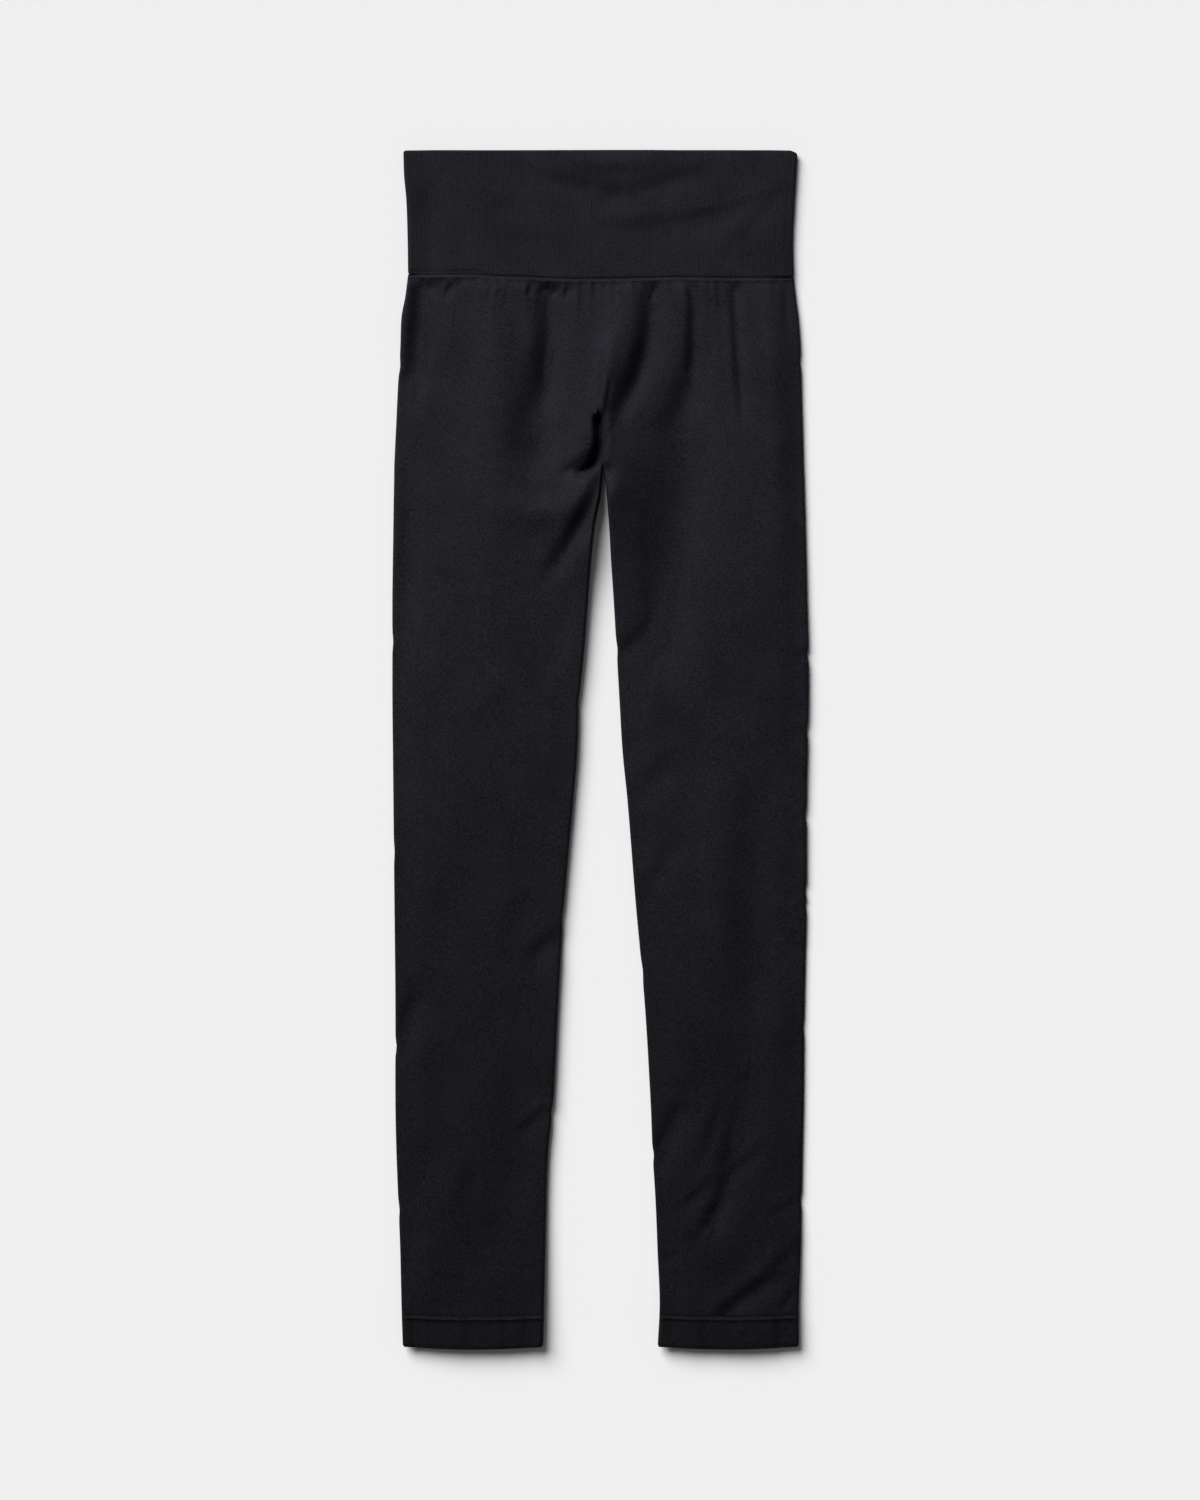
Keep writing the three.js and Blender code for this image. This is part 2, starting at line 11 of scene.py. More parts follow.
import bpy
import numpy as np
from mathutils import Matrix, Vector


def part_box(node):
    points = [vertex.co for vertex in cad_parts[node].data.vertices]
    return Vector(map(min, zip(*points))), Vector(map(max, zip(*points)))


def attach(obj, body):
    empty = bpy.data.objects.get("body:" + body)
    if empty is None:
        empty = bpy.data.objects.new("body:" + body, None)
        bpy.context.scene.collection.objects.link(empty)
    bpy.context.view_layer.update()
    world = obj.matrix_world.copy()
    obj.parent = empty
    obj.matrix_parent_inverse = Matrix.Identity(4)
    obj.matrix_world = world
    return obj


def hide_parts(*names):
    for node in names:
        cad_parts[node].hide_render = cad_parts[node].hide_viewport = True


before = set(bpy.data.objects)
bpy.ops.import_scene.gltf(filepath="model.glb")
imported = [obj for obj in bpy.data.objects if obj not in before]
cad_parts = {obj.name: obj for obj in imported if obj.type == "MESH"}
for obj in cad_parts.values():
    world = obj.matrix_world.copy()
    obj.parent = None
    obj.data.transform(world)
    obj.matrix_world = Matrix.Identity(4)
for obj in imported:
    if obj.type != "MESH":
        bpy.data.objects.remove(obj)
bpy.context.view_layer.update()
MM = 0.001  # lengths in this lesson are in millimetres until a mesh is written
BODY = "root"
TOP_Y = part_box("waistband")[1].y / MM

# %% [markdown]
# ## Camera
# The photograph looks straight down, with the garment's length up the picture. A long lens a few metres
# away keeps the legs parallel. The frame is 1500 pixels high, and one pixel of it is 0.8 mm on the surface.

# %% Set up the camera
PHOTO_WIDTH, PHOTO_HEIGHT = 1200, 1500
PIXEL = 0.8
PHOTO_X, PHOTO_TOP = 600.5, 151.5  # the garment's middle and its top edge, in pixels
LENS, SENSOR = 100, 36

camera_data = bpy.data.cameras.new("camera")
camera_data.lens = LENS
camera_data.sensor_width = SENSOR
camera_data.clip_end = 100
camera = bpy.data.objects.new("camera", camera_data)
bpy.context.scene.collection.objects.link(camera)
bpy.context.scene.camera = camera
camera.location = (
    (PHOTO_WIDTH / 2 - PHOTO_X) * PIXEL * MM,
    (TOP_Y - (PHOTO_HEIGHT / 2 - PHOTO_TOP) * PIXEL) * MM,
    PHOTO_HEIGHT * PIXEL * MM * LENS / SENSOR,
)
print("camera height", round(camera.location.z, 3), "m")

# %% [markdown]
# ## Light and surface
# The shadows fall to the right and towards the hems, and are short and soft, so the key light is a broad
# one, 40 degrees high at the upper left. A sun lamp with a wide disc does that and lights the surface
# evenly, as in a cut-out picture. A weak, even sky fills the folds. The standard view keeps the tones as
# measured.

# %% Light the set
KEY_HEIGHT = math.radians(40)
KEY_FROM_LEFT = math.radians(37)  # from straight up the picture
KEY_DISC = math.radians(44)
KEY_STRENGTH = 4.7
SKY_STRENGTH = 0.12
BACKDROP_STRENGTH = 0.85

key_data = bpy.data.lights.new("key", "SUN")
key_data.energy = KEY_STRENGTH
key_data.angle = KEY_DISC
key = bpy.data.objects.new("key", key_data)
key.rotation_euler = (-(math.pi / 2 - KEY_HEIGHT), 0, KEY_FROM_LEFT)
bpy.context.scene.collection.objects.link(key)

world = bpy.data.worlds.new("studio")
world.use_nodes = True
bpy.context.scene.world = world
sky = world.node_tree.nodes["Background"]
sky.inputs["Strength"].default_value = SKY_STRENGTH
sky.inputs["Color"].default_value = (1, 1, 1, 1)
backdrop = world.node_tree.nodes.new("ShaderNodeBackground")
backdrop.inputs["Color"].default_value = (1, 1, 1, 1)
backdrop.inputs["Strength"].default_value = BACKDROP_STRENGTH
seen = world.node_tree.nodes.new("ShaderNodeLightPath")
either = world.node_tree.nodes.new("ShaderNodeMixShader")
world.node_tree.links.new(seen.outputs["Is Camera Ray"], either.inputs[0])
world.node_tree.links.new(sky.outputs[0], either.inputs[1])
world.node_tree.links.new(backdrop.outputs[0], either.inputs[2])
world.node_tree.links.new(either.outputs[0], world.node_tree.nodes["World Output"].inputs[0])
bpy.context.scene.view_settings.view_transform = "Standard"


# %% Lay the surface
FLOOR_SIZE = 60
FLOOR_DROP = 0.0002  # the surface lies this far under the cloth, so that the two don't fight
FLOOR_COLOR = (0.80, 0.80, 0.80, 1)


def deselect():
    """Nothing stays selected, so the next operator acts on what it makes or is given."""
    bpy.ops.object.select_all(action="DESELECT")


deselect()
bpy.ops.mesh.primitive_plane_add(size=FLOOR_SIZE, location=(0, 0, -FLOOR_DROP))
floor = bpy.context.object
floor.name = "surface"
paper = bpy.data.materials.new("pale_surface")
paper.use_nodes = True
paper.node_tree.nodes["Principled BSDF"].inputs["Base Color"].default_value = FLOOR_COLOR
paper.node_tree.nodes["Principled BSDF"].inputs["Roughness"].default_value = 1
paper.node_tree.nodes["Principled BSDF"].inputs["Specular IOR Level"].default_value = 0
floor.data.materials.append(paper)

# %% [markdown]
# ## The outline
# Seen from above, the garment is bounded by two side folds and, under the crotch, by the two inner folds. A
# knit has no straight edges, so each edge is a smooth curve through a few measured widths. A place is given
# by x, across the garment, and by down, its distance below the top edge of the waistband.

# %% Describe the outline
WAISTBAND_HEIGHT = 100
CROTCH_DOWN = 250
HEM_TOP = 929.2
HEM_BOTTOM = 955
HEM_BOW = 1.9
BOW_LENGTH = 80


def table(columns, rows):
    """A table with named columns."""
    return [dict(zip(columns.split(), row)) for row in rows]


OUTLINE = table("down left seam gap right", [
    (100, -153.8, 0, 0, 154.4),
    (118, -156.0, -0.8, 0, 156.4),
    (134, -159.0, -1.6, 0, 158.4),
    (158, -160.0, -2.2, 0, 160.0),
    (190, -162.0, -1.6, 0, 160.8),
    (220, -163.4, 0.4, 0, 161.6),
    (250, -164.8, 1.8, 0, 162.4),
    (262, -165.0, 2.2, 2.2, 162.8),
    (275, -165.2, 2.6, 4.4, 163.2),
    (286, -165.4, 2.0, 7.4, 163.6),
    (302, -165.6, 1.2, 11.6, 164.0),
    (328, -166.0, 0.6, 15.6, 164.6),
    (358, -166.4, 0.4, 20, 165.2),
    (400, -166.4, 0, 25.8, 166.4),
    (440, -166.4, -0.8, 32, 166.4),
    (480, -166.0, -0.4, 36, 165.6),
    (520, -165.6, 0, 43.2, 164.8),
    (600, -164.8, -0.4, 56.8, 164.8),
    (680, -164.0, 0.8, 68.8, 163.2),
    (760, -164.0, 1.2, 77.6, 162.4),
    (800, -163.2, 0, 83.2, 161.6),
    (840, -161.6, 0.4, 87.2, 160.8),
    (880, -160.0, 0.8, 89.6, 160.0),
    (920, -159.0, 1.2, 92, 158.4),
    (955, -157.8, 0, 91.2, 158.4),
])
WAISTBAND_OUTLINE = table("down left right", [
    (0, -157.6, 157.4),
    (20, -157.0, 156.4),
    (40, -155.2, 155.2),
    (70, -154.2, 153.8),
    (100, -153.8, 154.4),
])


def follow(rows, column, down, key="down"):
    """A smooth curve through one column of a table, read at places in its key column."""
    at = np.array([row[key] for row in rows], float)
    value = np.array([row[column] for row in rows], float)
    slope = np.gradient(value)
    slope[1:-1] = (value[2:] - value[:-2]) / (at[2:] - at[:-2])
    slope[0] = (value[1] - value[0]) / (at[1] - at[0])
    slope[-1] = (value[-1] - value[-2]) / (at[-1] - at[-2])
    i = np.clip(np.searchsorted(at, down, side="right") - 1, 0, len(at) - 2)
    step = at[i + 1] - at[i]
    t = np.clip((down - at[i]) / step, 0, 1)
    fall = 2 * t**3 - 3 * t**2 + 1
    bulge = slope[i] * (t**3 - 2 * t**2 + t) + slope[i + 1] * (t**3 - t**2)
    return fall * value[i] + (1 - fall) * value[i + 1] + step * bulge


def smooth(value):
    """Eases from 0 to 1."""
    t = np.clip(value, 0, 1)
    return t * t * (3 - 2 * t)


def mix(a, b, share):
    return a + (b - a) * share


def bell(distance, width):
    return np.exp(-((distance / width) ** 2))


def parting(down):
    """The width of the gap between the legs."""
    return np.where(down < CROTCH_DOWN, 0, np.maximum(follow(OUTLINE, "gap", down), 0))


print("waist", follow(WAISTBAND_OUTLINE, "right", 0.0) - follow(WAISTBAND_OUTLINE, "left", 0.0), "mm across")

# %% [markdown]
# The sides of laid knitwear aren't clean curves either. Where a fold runs out over an edge it leaves a small
# nick, and between the nicks the edge swells a little. A short table places the nicks.

# %% Nick the edges
NICKS = table("edge down depth reach", [
    ("right", 168, 0.9, 5),
    ("right", 403, 1.3, 4),
    ("right", 463, 1.0, 5),
    ("right", 531, 1.1, 4),
    ("right", 591, 1.2, 4),
    ("right", 603, 0.9, 3),
    ("right", 700, 0.7, 6),
    ("right", 838, 0.8, 5),
    ("left", 172, 0.8, 6),
    ("left", 392, 0.7, 6),
    ("left", 560, 0.6, 7),
    ("left", 716, 1.0, 5),
    ("left", 846, 0.7, 6),
    ("left_inner", 440, 0.7, 6),
    ("left_inner", 612, 0.8, 7),
    ("left_inner", 768, 1.0, 5),
    ("right_inner", 398, 0.8, 6),
    ("right_inner", 655, 0.7, 7),
    ("right_inner", 802, 0.9, 5),
])


def nick(edge, down):
    """How far an edge is drawn in at a place."""
    return sum(row["depth"] * bell(down - row["down"], row["reach"]) for row in NICKS if row["edge"] == edge)


LEGS = {
    "left": {
        "side": lambda down: follow(OUTLINE, "left", down) + nick("left", down),
        "inner": lambda down: follow(OUTLINE, "seam", down) - parting(down) / 2 - nick("left_inner", down),
    },
    "right": {
        "side": lambda down: follow(OUTLINE, "right", down) - nick("right", down),
        "inner": lambda down: follow(OUTLINE, "seam", down) + parting(down) / 2 + nick("right_inner", down),
    },
}

# %% [markdown]
# The waist seam isn't straight either. It was sewn under tension and relaxed, so it hangs up to 3 mm lower
# in the middle. Both pieces follow it: the band is stretched down to it and the body is moved down with it.

# %% Curve the waist seam
SEAM_DROP = table("x drop", [
    (-160, -2.0),
    (-150, -1.2),
    (-138, -0.6),
    (-100, -0.6),
    (-80, 0.8),
    (-60, 1.3),
    (-35, 2.6),
    (0, 2.8),
    (40, 2.0),
    (62, 1.5),
    (90, 2.0),
    (130, 2.0),
    (145, 1.3),
    (160, 0.4),
])
SEAM_DROP_FADE = 70
SEAM_DROP_END = 160


def seam_drop(x, down):
    """How far the waist seam's curve moves a place on the cloth down."""
    below = 1 - smooth((down - WAISTBAND_HEIGHT) / SEAM_DROP_FADE)
    share = np.where(down < WAISTBAND_HEIGHT, down / WAISTBAND_HEIGHT, below)
    return follow(SEAM_DROP, "drop", np.clip(x, -SEAM_DROP_END, SEAM_DROP_END), key="x") * share


# %% [markdown]
# ## Creases
# What makes laid cloth look like cloth is its relief. Three kinds are laid over each other here: broad swells
# where the cloth is full, creases along curves, and small puckers under the waist seam. A crease is steep on
# one side, where the cloth drops from a ridge, and eases out on the other, so it is stated by those two
# widths. Each was placed against the photograph, in millimetres.

# %% List the swells and creases
SWELLS = table("x down across along rise", [
    (1, 256, 44, 74, 7.4),
    (2, 292, 30, 60, 5.5),
    (-82, 200, 21, 110, 6.2),
    (64, 150, 16, 62, 2.4),
    (152, 190, 26, 110, 3.2),
    (-132, 330, 26, 100, 1.6),
    (-92, 450, 44, 140, 3.4),
    (98, 380, 36, 110, 1.8),
    (96, 604, 17, 84, 3.4),
    (70, 640, 24, 62, 1.8),
    (-112, 700, 40, 90, 1.4),
    (104, 850, 40, 60, 1.6),
    (-104, 870, 36, 70, 1.2),
])
CREASE_STEPS = 16  # a curve is followed in this many straight steps


def crease(start, bend, end, steep, ease, depth, ridge, ends):
    """A crease from its start to its end, drawn towards its bend. Its ridge stands on the left of a path down
    the garment. ends are the shares of the depth that are there at the start and at the end. A raised fold
    has a negative depth."""
    t = np.linspace(0, 1, CREASE_STEPS + 1)[:, None]
    path = (1 - t) ** 2 * np.array(start) + 2 * t * (1 - t) * np.array(bend) + t**2 * np.array(end)
    least = mix(ends[0], ends[1], t[:, 0])
    strength = least + (1 - least) * np.sin(math.pi * t[:, 0])
    return {"path": path, "strength": strength, "steep": steep, "ease": ease, "depth": depth, "ridge": ridge}


def creases(rows):
    return [crease(**row) for row in table("start bend end steep ease depth ridge ends", rows)]


HIP_CREASES = creases([
    ((-42, 104), (-37, 150), (-46, 212), 9.5, 11, 6.4, 1.4, (0.8, 0)),
    ((-40, 176), (-45, 222), (-58, 260), 18, 17, 5.6, 0.6, (0.4, 0)),
    ((-21, 101), (-27, 106), (-28, 119), 2.2, 5, 1.9, 0.7, (1, 0)),
    ((-34, 103), (-37, 108), (-39, 115), 1.8, 3.5, 1.1, 0.4, (0.7, 0)),
    ((-108, 101), (-121, 104), (-124, 121), 2.2, 5.5, 2, 0.7, (0.8, 0)),
    ((-130, 101), (-136, 106), (-138, 116), 2, 4.5, 0.9, 0.4, (0.7, 0)),
    ((-72, 106), (-76, 116), (-79, 130), 3, 9, 0.7, 0.3, (0.6, 0)),
    ((-140, 100), (-141, 135), (-146, 176), 9, 16, 4, 0.6, (0.9, 0.5)),
    ((-154, 100), (-156, 130), (-159, 174), 5, 7, -4.4, 0, (0.9, 0.6)),
    ((-53, 102), (-57, 108), (-59, 117), 1.8, 3.6, 1.3, 0.5, (0.9, 0)),
    ((-46, 102), (-44, 107), (-49, 114), 1.7, 3, 1, 0.5, (0.8, 0)),
    ((-84, 101), (-87, 110), (-91, 123), 2, 4.5, 0.8, 0.4, (0.5, 0)),
    ((-76, 106), (-81, 113), (-84, 120), 1.8, 3.5, 0.7, 0.4, (0.3, 0)),
    ((40, 105), (46, 160), (15, 210), 7.5, 8.5, 4.6, 1, (0.7, 0.6)),
    ((36, 150), (35, 178), (18, 202), 8, 8, 1.8, 0, (0.1, 0.3)),
    ((36, 104), (39, 111), (44, 120), 1.8, 3, 0.8, 0.4, (0.7, 0)),
    ((45, 105), (41, 112), (39, 120), 1.8, 3, 0.7, 0.4, (0.5, 0)),
    ((73.5, 103), (75.5, 140), (72, 176), 4, 5, 2.2, 0.6, (0.8, 0.6)),
    ((77, 140), (80, 190), (50, 233), 11, 14, 4.6, 0.6, (0.3, 0)),
    ((107, 103), (108.5, 152), (114.5, 224), 3.8, 4.6, 2.9, 0.7, (0.9, 0)),
    ((101, 103), (100, 130), (104, 170), 6, 9, 0.8, 0, (0.8, 0)),
    ((11, 124), (12, 132), (12, 142), 2.5, 4, 0.5, 0.2, (0, 0)),
    ((151, 108), (153.5, 140), (156.5, 173), 1.8, 2.4, -0.6, 0, (0.7, 0.7)),
    ((146, 104), (149, 124), (148, 150), 3, 6, 0.8, 0.4, (0.9, 0)),
    ((20, 108), (17, 160), (-6, 224), 13, 15, -6, 0, (0.35, 0.35)),
])
CROTCH_CREASES = creases([
    ((6, 150), (3, 184), (0.4, 208), 4.2, 9, -4.2, 0, (0.1, 0.4)),
    ((8, 183), (7, 196), (3.4, 209), 1.9, 3, 1.3, 0.3, (0.3, 1)),
    ((-2, 216), (3.4, 255), (-22, 259), 3.1, 4.8, 13, 0, (1, 0)),
    ((-3, 238), (-8, 252), (-34, 260), 5.4, 7, 5.4, 0, (0.4, 0)),
    ((2.2, 206), (2.6, 234), (3.4, 262), 1.5, 5, -1.5, 0, (0.3, 0.6)),
    ((2, 258), (-3, 284), (-40, 340), 8, 7, 8.6, 0.8, (1, 0)),
    ((-26, 318), (-38, 334), (-52, 352), 6, 9, 0.8, 0.2, (0.6, 0)),
    ((-78, 280), (-44, 300), (-8, 276), 12, 11, -3.4, 0, (0.1, 0.9)),
    ((-40, 214), (-50, 228), (-66, 236), 10, 12, -1.2, 0, (0.5, 0.1)),
])
LEG_CREASES = creases([
    ((66, 206), (69, 300), (48, 393), 28, 24, 6.6, 0, (0.35, 0.95)),
    ((50, 378), (37, 391), (18, 402), 8, 5, 2.2, 0.6, (0.4, 0.8)),
    ((-140, 180), (-141, 300), (-145, 384), 13, 28, 3, 0.5, (0.6, 0.6)),
    ((-161, 246), (-163, 310), (-163, 372), 4, 5, -1.8, 0, (0.4, 0.2)),
    ((66, 480), (50, 498), (30, 512), 8, 12, 1.7, 0.5, (0.1, 0.4)),
    ((60, 548), (52, 574), (36, 598), 8, 11, 1.5, 0.4, (0, 0.4)),
    ((126, 490), (131, 610), (125, 745), 18, 26, 2.8, 0, (0.2, 0.3)),
    ((-34, 628), (-46, 637), (-60, 650), 6, 10, 2.2, 0.5, (0.7, 0)),
    ((-20, 352), (-30, 385), (-42, 425), 10, 10, 1.6, 0, (0.3, 0)),
    ((-96, 470), (-70, 500), (-62, 560), 9, 16, 0.8, 0.3, (0, 0)),
    ((-60, 590), (-72, 620), (-74, 668), 8, 14, 0.7, 0.3, (0, 0)),
    ((-145, 668), (-151, 692), (-160, 718), 7, 9, 3.1, 0.6, (0.2, 0.8)),
    ((-44, 768), (-54, 779), (-70, 787), 4.5, 8, 1.3, 0.5, (0.7, 0)),
    ((-92, 800), (-106, 822), (-112, 856), 7, 10, 0.7, 0.2, (0, 0)),
    ((67, 758), (58, 780), (47, 805), 8, 11, 3.6, 0.5, (0.1, 0.8)),
    ((116, 750), (110, 800), (94, 848), 11, 17, 4.2, 0.6, (0.3, 0.6)),
    ((97, 756), (92, 784), (78, 812), 5, 8, 1.4, 0.4, (0.3, 0.1)),
    ((101, 828), (96, 851), (77, 870), 6, 9, 2.7, 0.6, (0.3, 0.4)),
    ((86, 826), (76, 838), (60, 846), 4, 7, 1.3, 0.4, (0.4, 0.1)),
    ((78, 846), (84, 850), (92, 846), 2.4, 4, 0.8, -0.3, (0.2, 0.2)),
    ((70, 852), (78, 858), (90, 855), 2.4, 4, 0.8, -0.3, (0.2, 0.2)),
    ((62, 880), (58, 884), (50, 885), 3, 5, 0.8, 0.3, (0.1, 0.6)),
    ((134, 794), (118, 806), (100, 824), 4, 7, 1.1, 0.4, (0.1, 0.4)),
    ((158, 838), (148, 846), (132, 850), 3.5, 6, 0.9, 0.3, (0.7, 0)),
    ((139, 901), (120, 911), (99, 928), 6, 8, 2.7, 1, (0.3, 0.8)),
    ((160, 876), (147, 888), (129, 905), 6, 9, 0.9, 0.7, (0.5, 0.3)),
    ((154, 912), (150, 918), (143, 927), 3, 4, 0.9, 0.4, (0.6, 0)),
    ((163, 330), (166, 480), (163, 640), 9, 4, -1.5, 0, (0.2, 0.2)),
    ((165, 400), (161, 403), (152, 409), 2.4, 4, 1, 0.4, (0.9, 0)),
    ((165, 460), (160, 463), (150, 466), 2.6, 4, 0.8, 0.3, (0.9, 0)),
    ((165, 528), (160, 531), (153, 536), 2.4, 4, 0.9, 0.3, (0.9, 0)),
    ((164, 589), (157, 592), (146, 595), 2.2, 4, 1.1, 0.4, (0.9, 0)),
    ((164, 601), (159, 603), (151, 605), 2.2, 3, 0.9, 0.3, (0.9, 0)),
    ((163, 636), (158, 638), (148, 639), 2.4, 4, 0.9, 0.3, (0.8, 0)),
])
WAISTBAND_CREASES = creases([
    ((14, 33), (-26, 28), (-64, 17), 5, 12, 1.9, 0.6, (0.7, 0.2)),
    ((96, 15), (48, 27), (6, 38), 6, 9, 1.8, 0.6, (0.2, 0.6)),
    ((150, 30), (84, 57), (-12, 60), 3.2, 11, 1.2, 0.8, (0.3, 0.1)),
    ((120, 49), (72, 66), (18, 67), 6, 13, 0.9, 0.4, (0.2, 0.1)),
    ((56, 6), (12, 12), (-40, 7), 6, 7, -3, 0, (0.1, 0.1)),
    ((-52, 53), (-90, 47), (-124, 36), 8, 13, 0.9, 0.4, (0, 0)),
    ((4, 74), (-60, 76), (-112, 66), 10, 16, 1, 0.3, (0, 0)),
    ((140, 34), (124, 60), (110, 72), 5, 7, 0.8, 0.3, (0, 0)),
    ((118, 60), (108, 75), (95, 85), 5, 7, 0.6, 0.3, (0, 0)),
    ((-141, 20), (-135, 62), (-140, 99), 11, 10, 2.8, 1, (0.3, 0.7)),
    ((149, 44), (151, 76), (152, 99), 3.5, 6, 0.4, 0.4, (0.1, 0.9)),
])
HEM_CREASES = creases([
    ((-148, 930), (-149, 943), (-147, 957), 4, 6, 0.8, 0.3, (0.8, 0.8)),
    ((-104, 929), (-105, 942), (-103, 957), 4, 7, 0.7, 0.3, (0.8, 0.4)),
    ((-82, 930), (-80, 944), (-81, 957), 6, 5, -0.6, 0, (0.6, 0.8)),
    ((-58, 929), (-57, 942), (-59, 957), 5, 7, 0.8, 0.3, (0.7, 0.6)),
    ((56, 930), (58, 942), (57, 957), 5, 6, 0.8, 0.3, (0.8, 0.7)),
    ((84, 929), (82, 942), (85, 957), 4, 7, 0.6, 0.3, (0.5, 0.8)),
    ((112, 930), (110, 944), (113, 957), 6, 5, -0.5, 0, (0.7, 0.6)),
    ((144, 929), (145, 942), (143, 957), 5, 7, 0.9, 0.3, (0.8, 0.7)),
])
print("creases:", len(HIP_CREASES + CROTCH_CREASES + LEG_CREASES + WAISTBAND_CREASES + HEM_CREASES))

# %% [markdown]
# A crease acts on every point of the cloth by its distance from the curve, so the nearest place on the
# curve is found first, and then the side that the point is on.

# %% Measure the relief
RIDGE_DISTANCE = 1.7  # from a crease to its ridge, in steep widths
CREASE_REACH = 3  # a crease is nothing beyond this many widths


def crease_height(rows, x, down):
    """How far the creases raise or lower the cloth at places on it."""
    x, down = np.broadcast_arrays(x, down)
    height = np.zeros(x.shape)
    for row in rows:
        reach = CREASE_REACH * max(row["steep"] * (1 + RIDGE_DISTANCE), row["ease"])
        low, high = row["path"].min(axis=0) - reach, row["path"].max(axis=0) + reach
        near = (x > low[0]) & (x < high[0]) & (down > low[1]) & (down < high[1])
        if not near.any():
            continue
        px, py = x[near], down[near]
        best = np.full(px.shape, np.inf)
        side = np.ones(px.shape)
        strength = np.zeros(px.shape)
        for (ax, ay), (bx, by), sa, sb in zip(
            row["path"][:-1], row["path"][1:], row["strength"][:-1], row["strength"][1:]
        ):
            dx, dy = bx - ax, by - ay
            t = np.clip(((px - ax) * dx + (py - ay) * dy) / (dx * dx + dy * dy), 0, 1)
            ox, oy = px - ax - t * dx, py - ay - t * dy
            away = np.hypot(ox, oy)
            closer = away < best
            best = np.where(closer, away, best)
            side = np.where(closer, np.where(dx * oy - dy * ox < 0, -1, 1), side)
            strength = np.where(closer, mix(sa, sb, t), strength)
        towards_ridge = side * best * (-1 if row["ridge"] < 0 else 1)
        width = np.where(towards_ridge > 0, row["steep"], row["ease"])
        relief = abs(row["ridge"]) * bell(towards_ridge - RIDGE_DISTANCE * row["steep"], row["steep"])
        height[near] += strength * (relief - row["depth"] * bell(best, width))
    return height


def swell_height(x, down):
    return sum(
        row["rise"] * bell(np.hypot((x - row["x"]) / row["across"], (down - row["down"]) / row["along"]), 1)
        for row in SWELLS
    )


# %% [markdown]
# Under the waistband the body is a little wider than the rib that it is sewn to, so the knit is gathered in
# small puckers, unevenly spaced and of uneven length. A loop that steps by shares of the golden ratio
# spaces them without a visible repeat.

# %% Pucker the cloth under the waist seam
GOLDEN = 0.618034
PUCKER_FIRST, PUCKER_LAST = -150, 150
PUCKER_GAPS, PUCKER_LENGTHS, PUCKER_RISES = (6, 17), (7, 24), (0.3, 1.3)  # the least and the most
PUCKER_LEAN = 0.02  # they fan out from the middle
PUCKER_WIDTH = 2.2
PUCKER_HOLLOW, PUCKER_HOLLOW_AT, PUCKER_HOLLOW_WIDTH = 0.6, 3.6, 2


def puckers():
    """Where the puckers are, how long and how high."""
    rows, x, k = [], PUCKER_FIRST, 0
    while x < PUCKER_LAST:
        share = (k * GOLDEN) % 1
        length, rise = mix(*PUCKER_LENGTHS, share**2), mix(*PUCKER_RISES, (share * 7) % 1)
        rows.append({"x": x, "length": length, "rise": rise})
        x += mix(*PUCKER_GAPS, (share * 3) % 1)
        k += 1
    return rows


PUCKERS = puckers()


def pucker_height(x, down):
    """A pucker is a small ridge with a hollow on its right."""
    below = down - WAISTBAND_HEIGHT
    height = np.zeros(np.broadcast(x, down).shape)
    for row in PUCKERS:
        lean = row["x"] * PUCKER_LEAN * below / row["length"]
        fade = np.exp(-np.maximum(below, 0) / row["length"])
        across = x - row["x"] - lean
        hollow = PUCKER_HOLLOW * bell(across - PUCKER_HOLLOW_AT, PUCKER_HOLLOW_WIDTH)
        height += row["rise"] * fade * (bell(across, PUCKER_WIDTH) - hollow)
    return height


print("puckers:", len(PUCKERS))

# %% [markdown]
# ## Heights of the laid garment
# The front lies a few millimetres over the back, and higher where the crotch is bunched. Each kind of piece
# has a function that gives the front's height over the surface at any place. Heights and rolls are set so
# that the pieces fit each other along their seams.

# %% Work out the heights
WAISTBAND_LOFT, WAISTBAND_EDGE = 8.4, 6.4
BODY_LOFT, SHIN_LOFT, LEG_EDGE = 8.8, 6.2, 4.8
HEM_LOFT, HEM_EDGE = 7.6, 5.9
EDGE_SLOPE = 26
CROTCH_FADE = 130
SHIN_DOWN = 770
HEM_LIFT, HEM_LIFT_LENGTH = 4.6, 180
LEAST_HEIGHT = 3.2
DRIFT = 0.65
DRIFT_GROWS_FROM, DRIFT_GROWS_OVER, DRIFT_GROWTH = 420, 300, (0.6, 1.5)
DOUBLE_DRIFT = 0.6  # double cloth waves less than single
PUCKER_FADE = 4
SEWN_FLAT, SEWN_FADE = 0.4, 11  # the waist seam holds the cloth level, and the creases open out below it
SEAM_DIP, SEAM_DIP_REACH = 0.8, 0.8  # a seam pulls the edges of the cloth in
SEAM_ROLL, SEAM_ROLL_AT, SEAM_ROLL_REACH = 0.62, 2.2, 1.0  # and its allowance lifts them just beside it
HEM_GROOVE = 0.3
HEM_RIDGE, HEM_RIDGE_AT, HEM_RIDGE_REACH = 1.1, 2.7, 1.0  # the turned edge
INNER_RISE_REACH = 18
INNER_RISE = table("down left right", [
    (200, 0, 0),
    (250, 1.5, 1.5),
    (275, 6, 4.5),
    (310, 9, 4.5),
    (350, 8, 3.4),
    (430, 5.4, 1.4),
    (600, 4.0, 0.6),
    (800, 3.8, 0.4),
    (955, 3.0, 0.4),
])


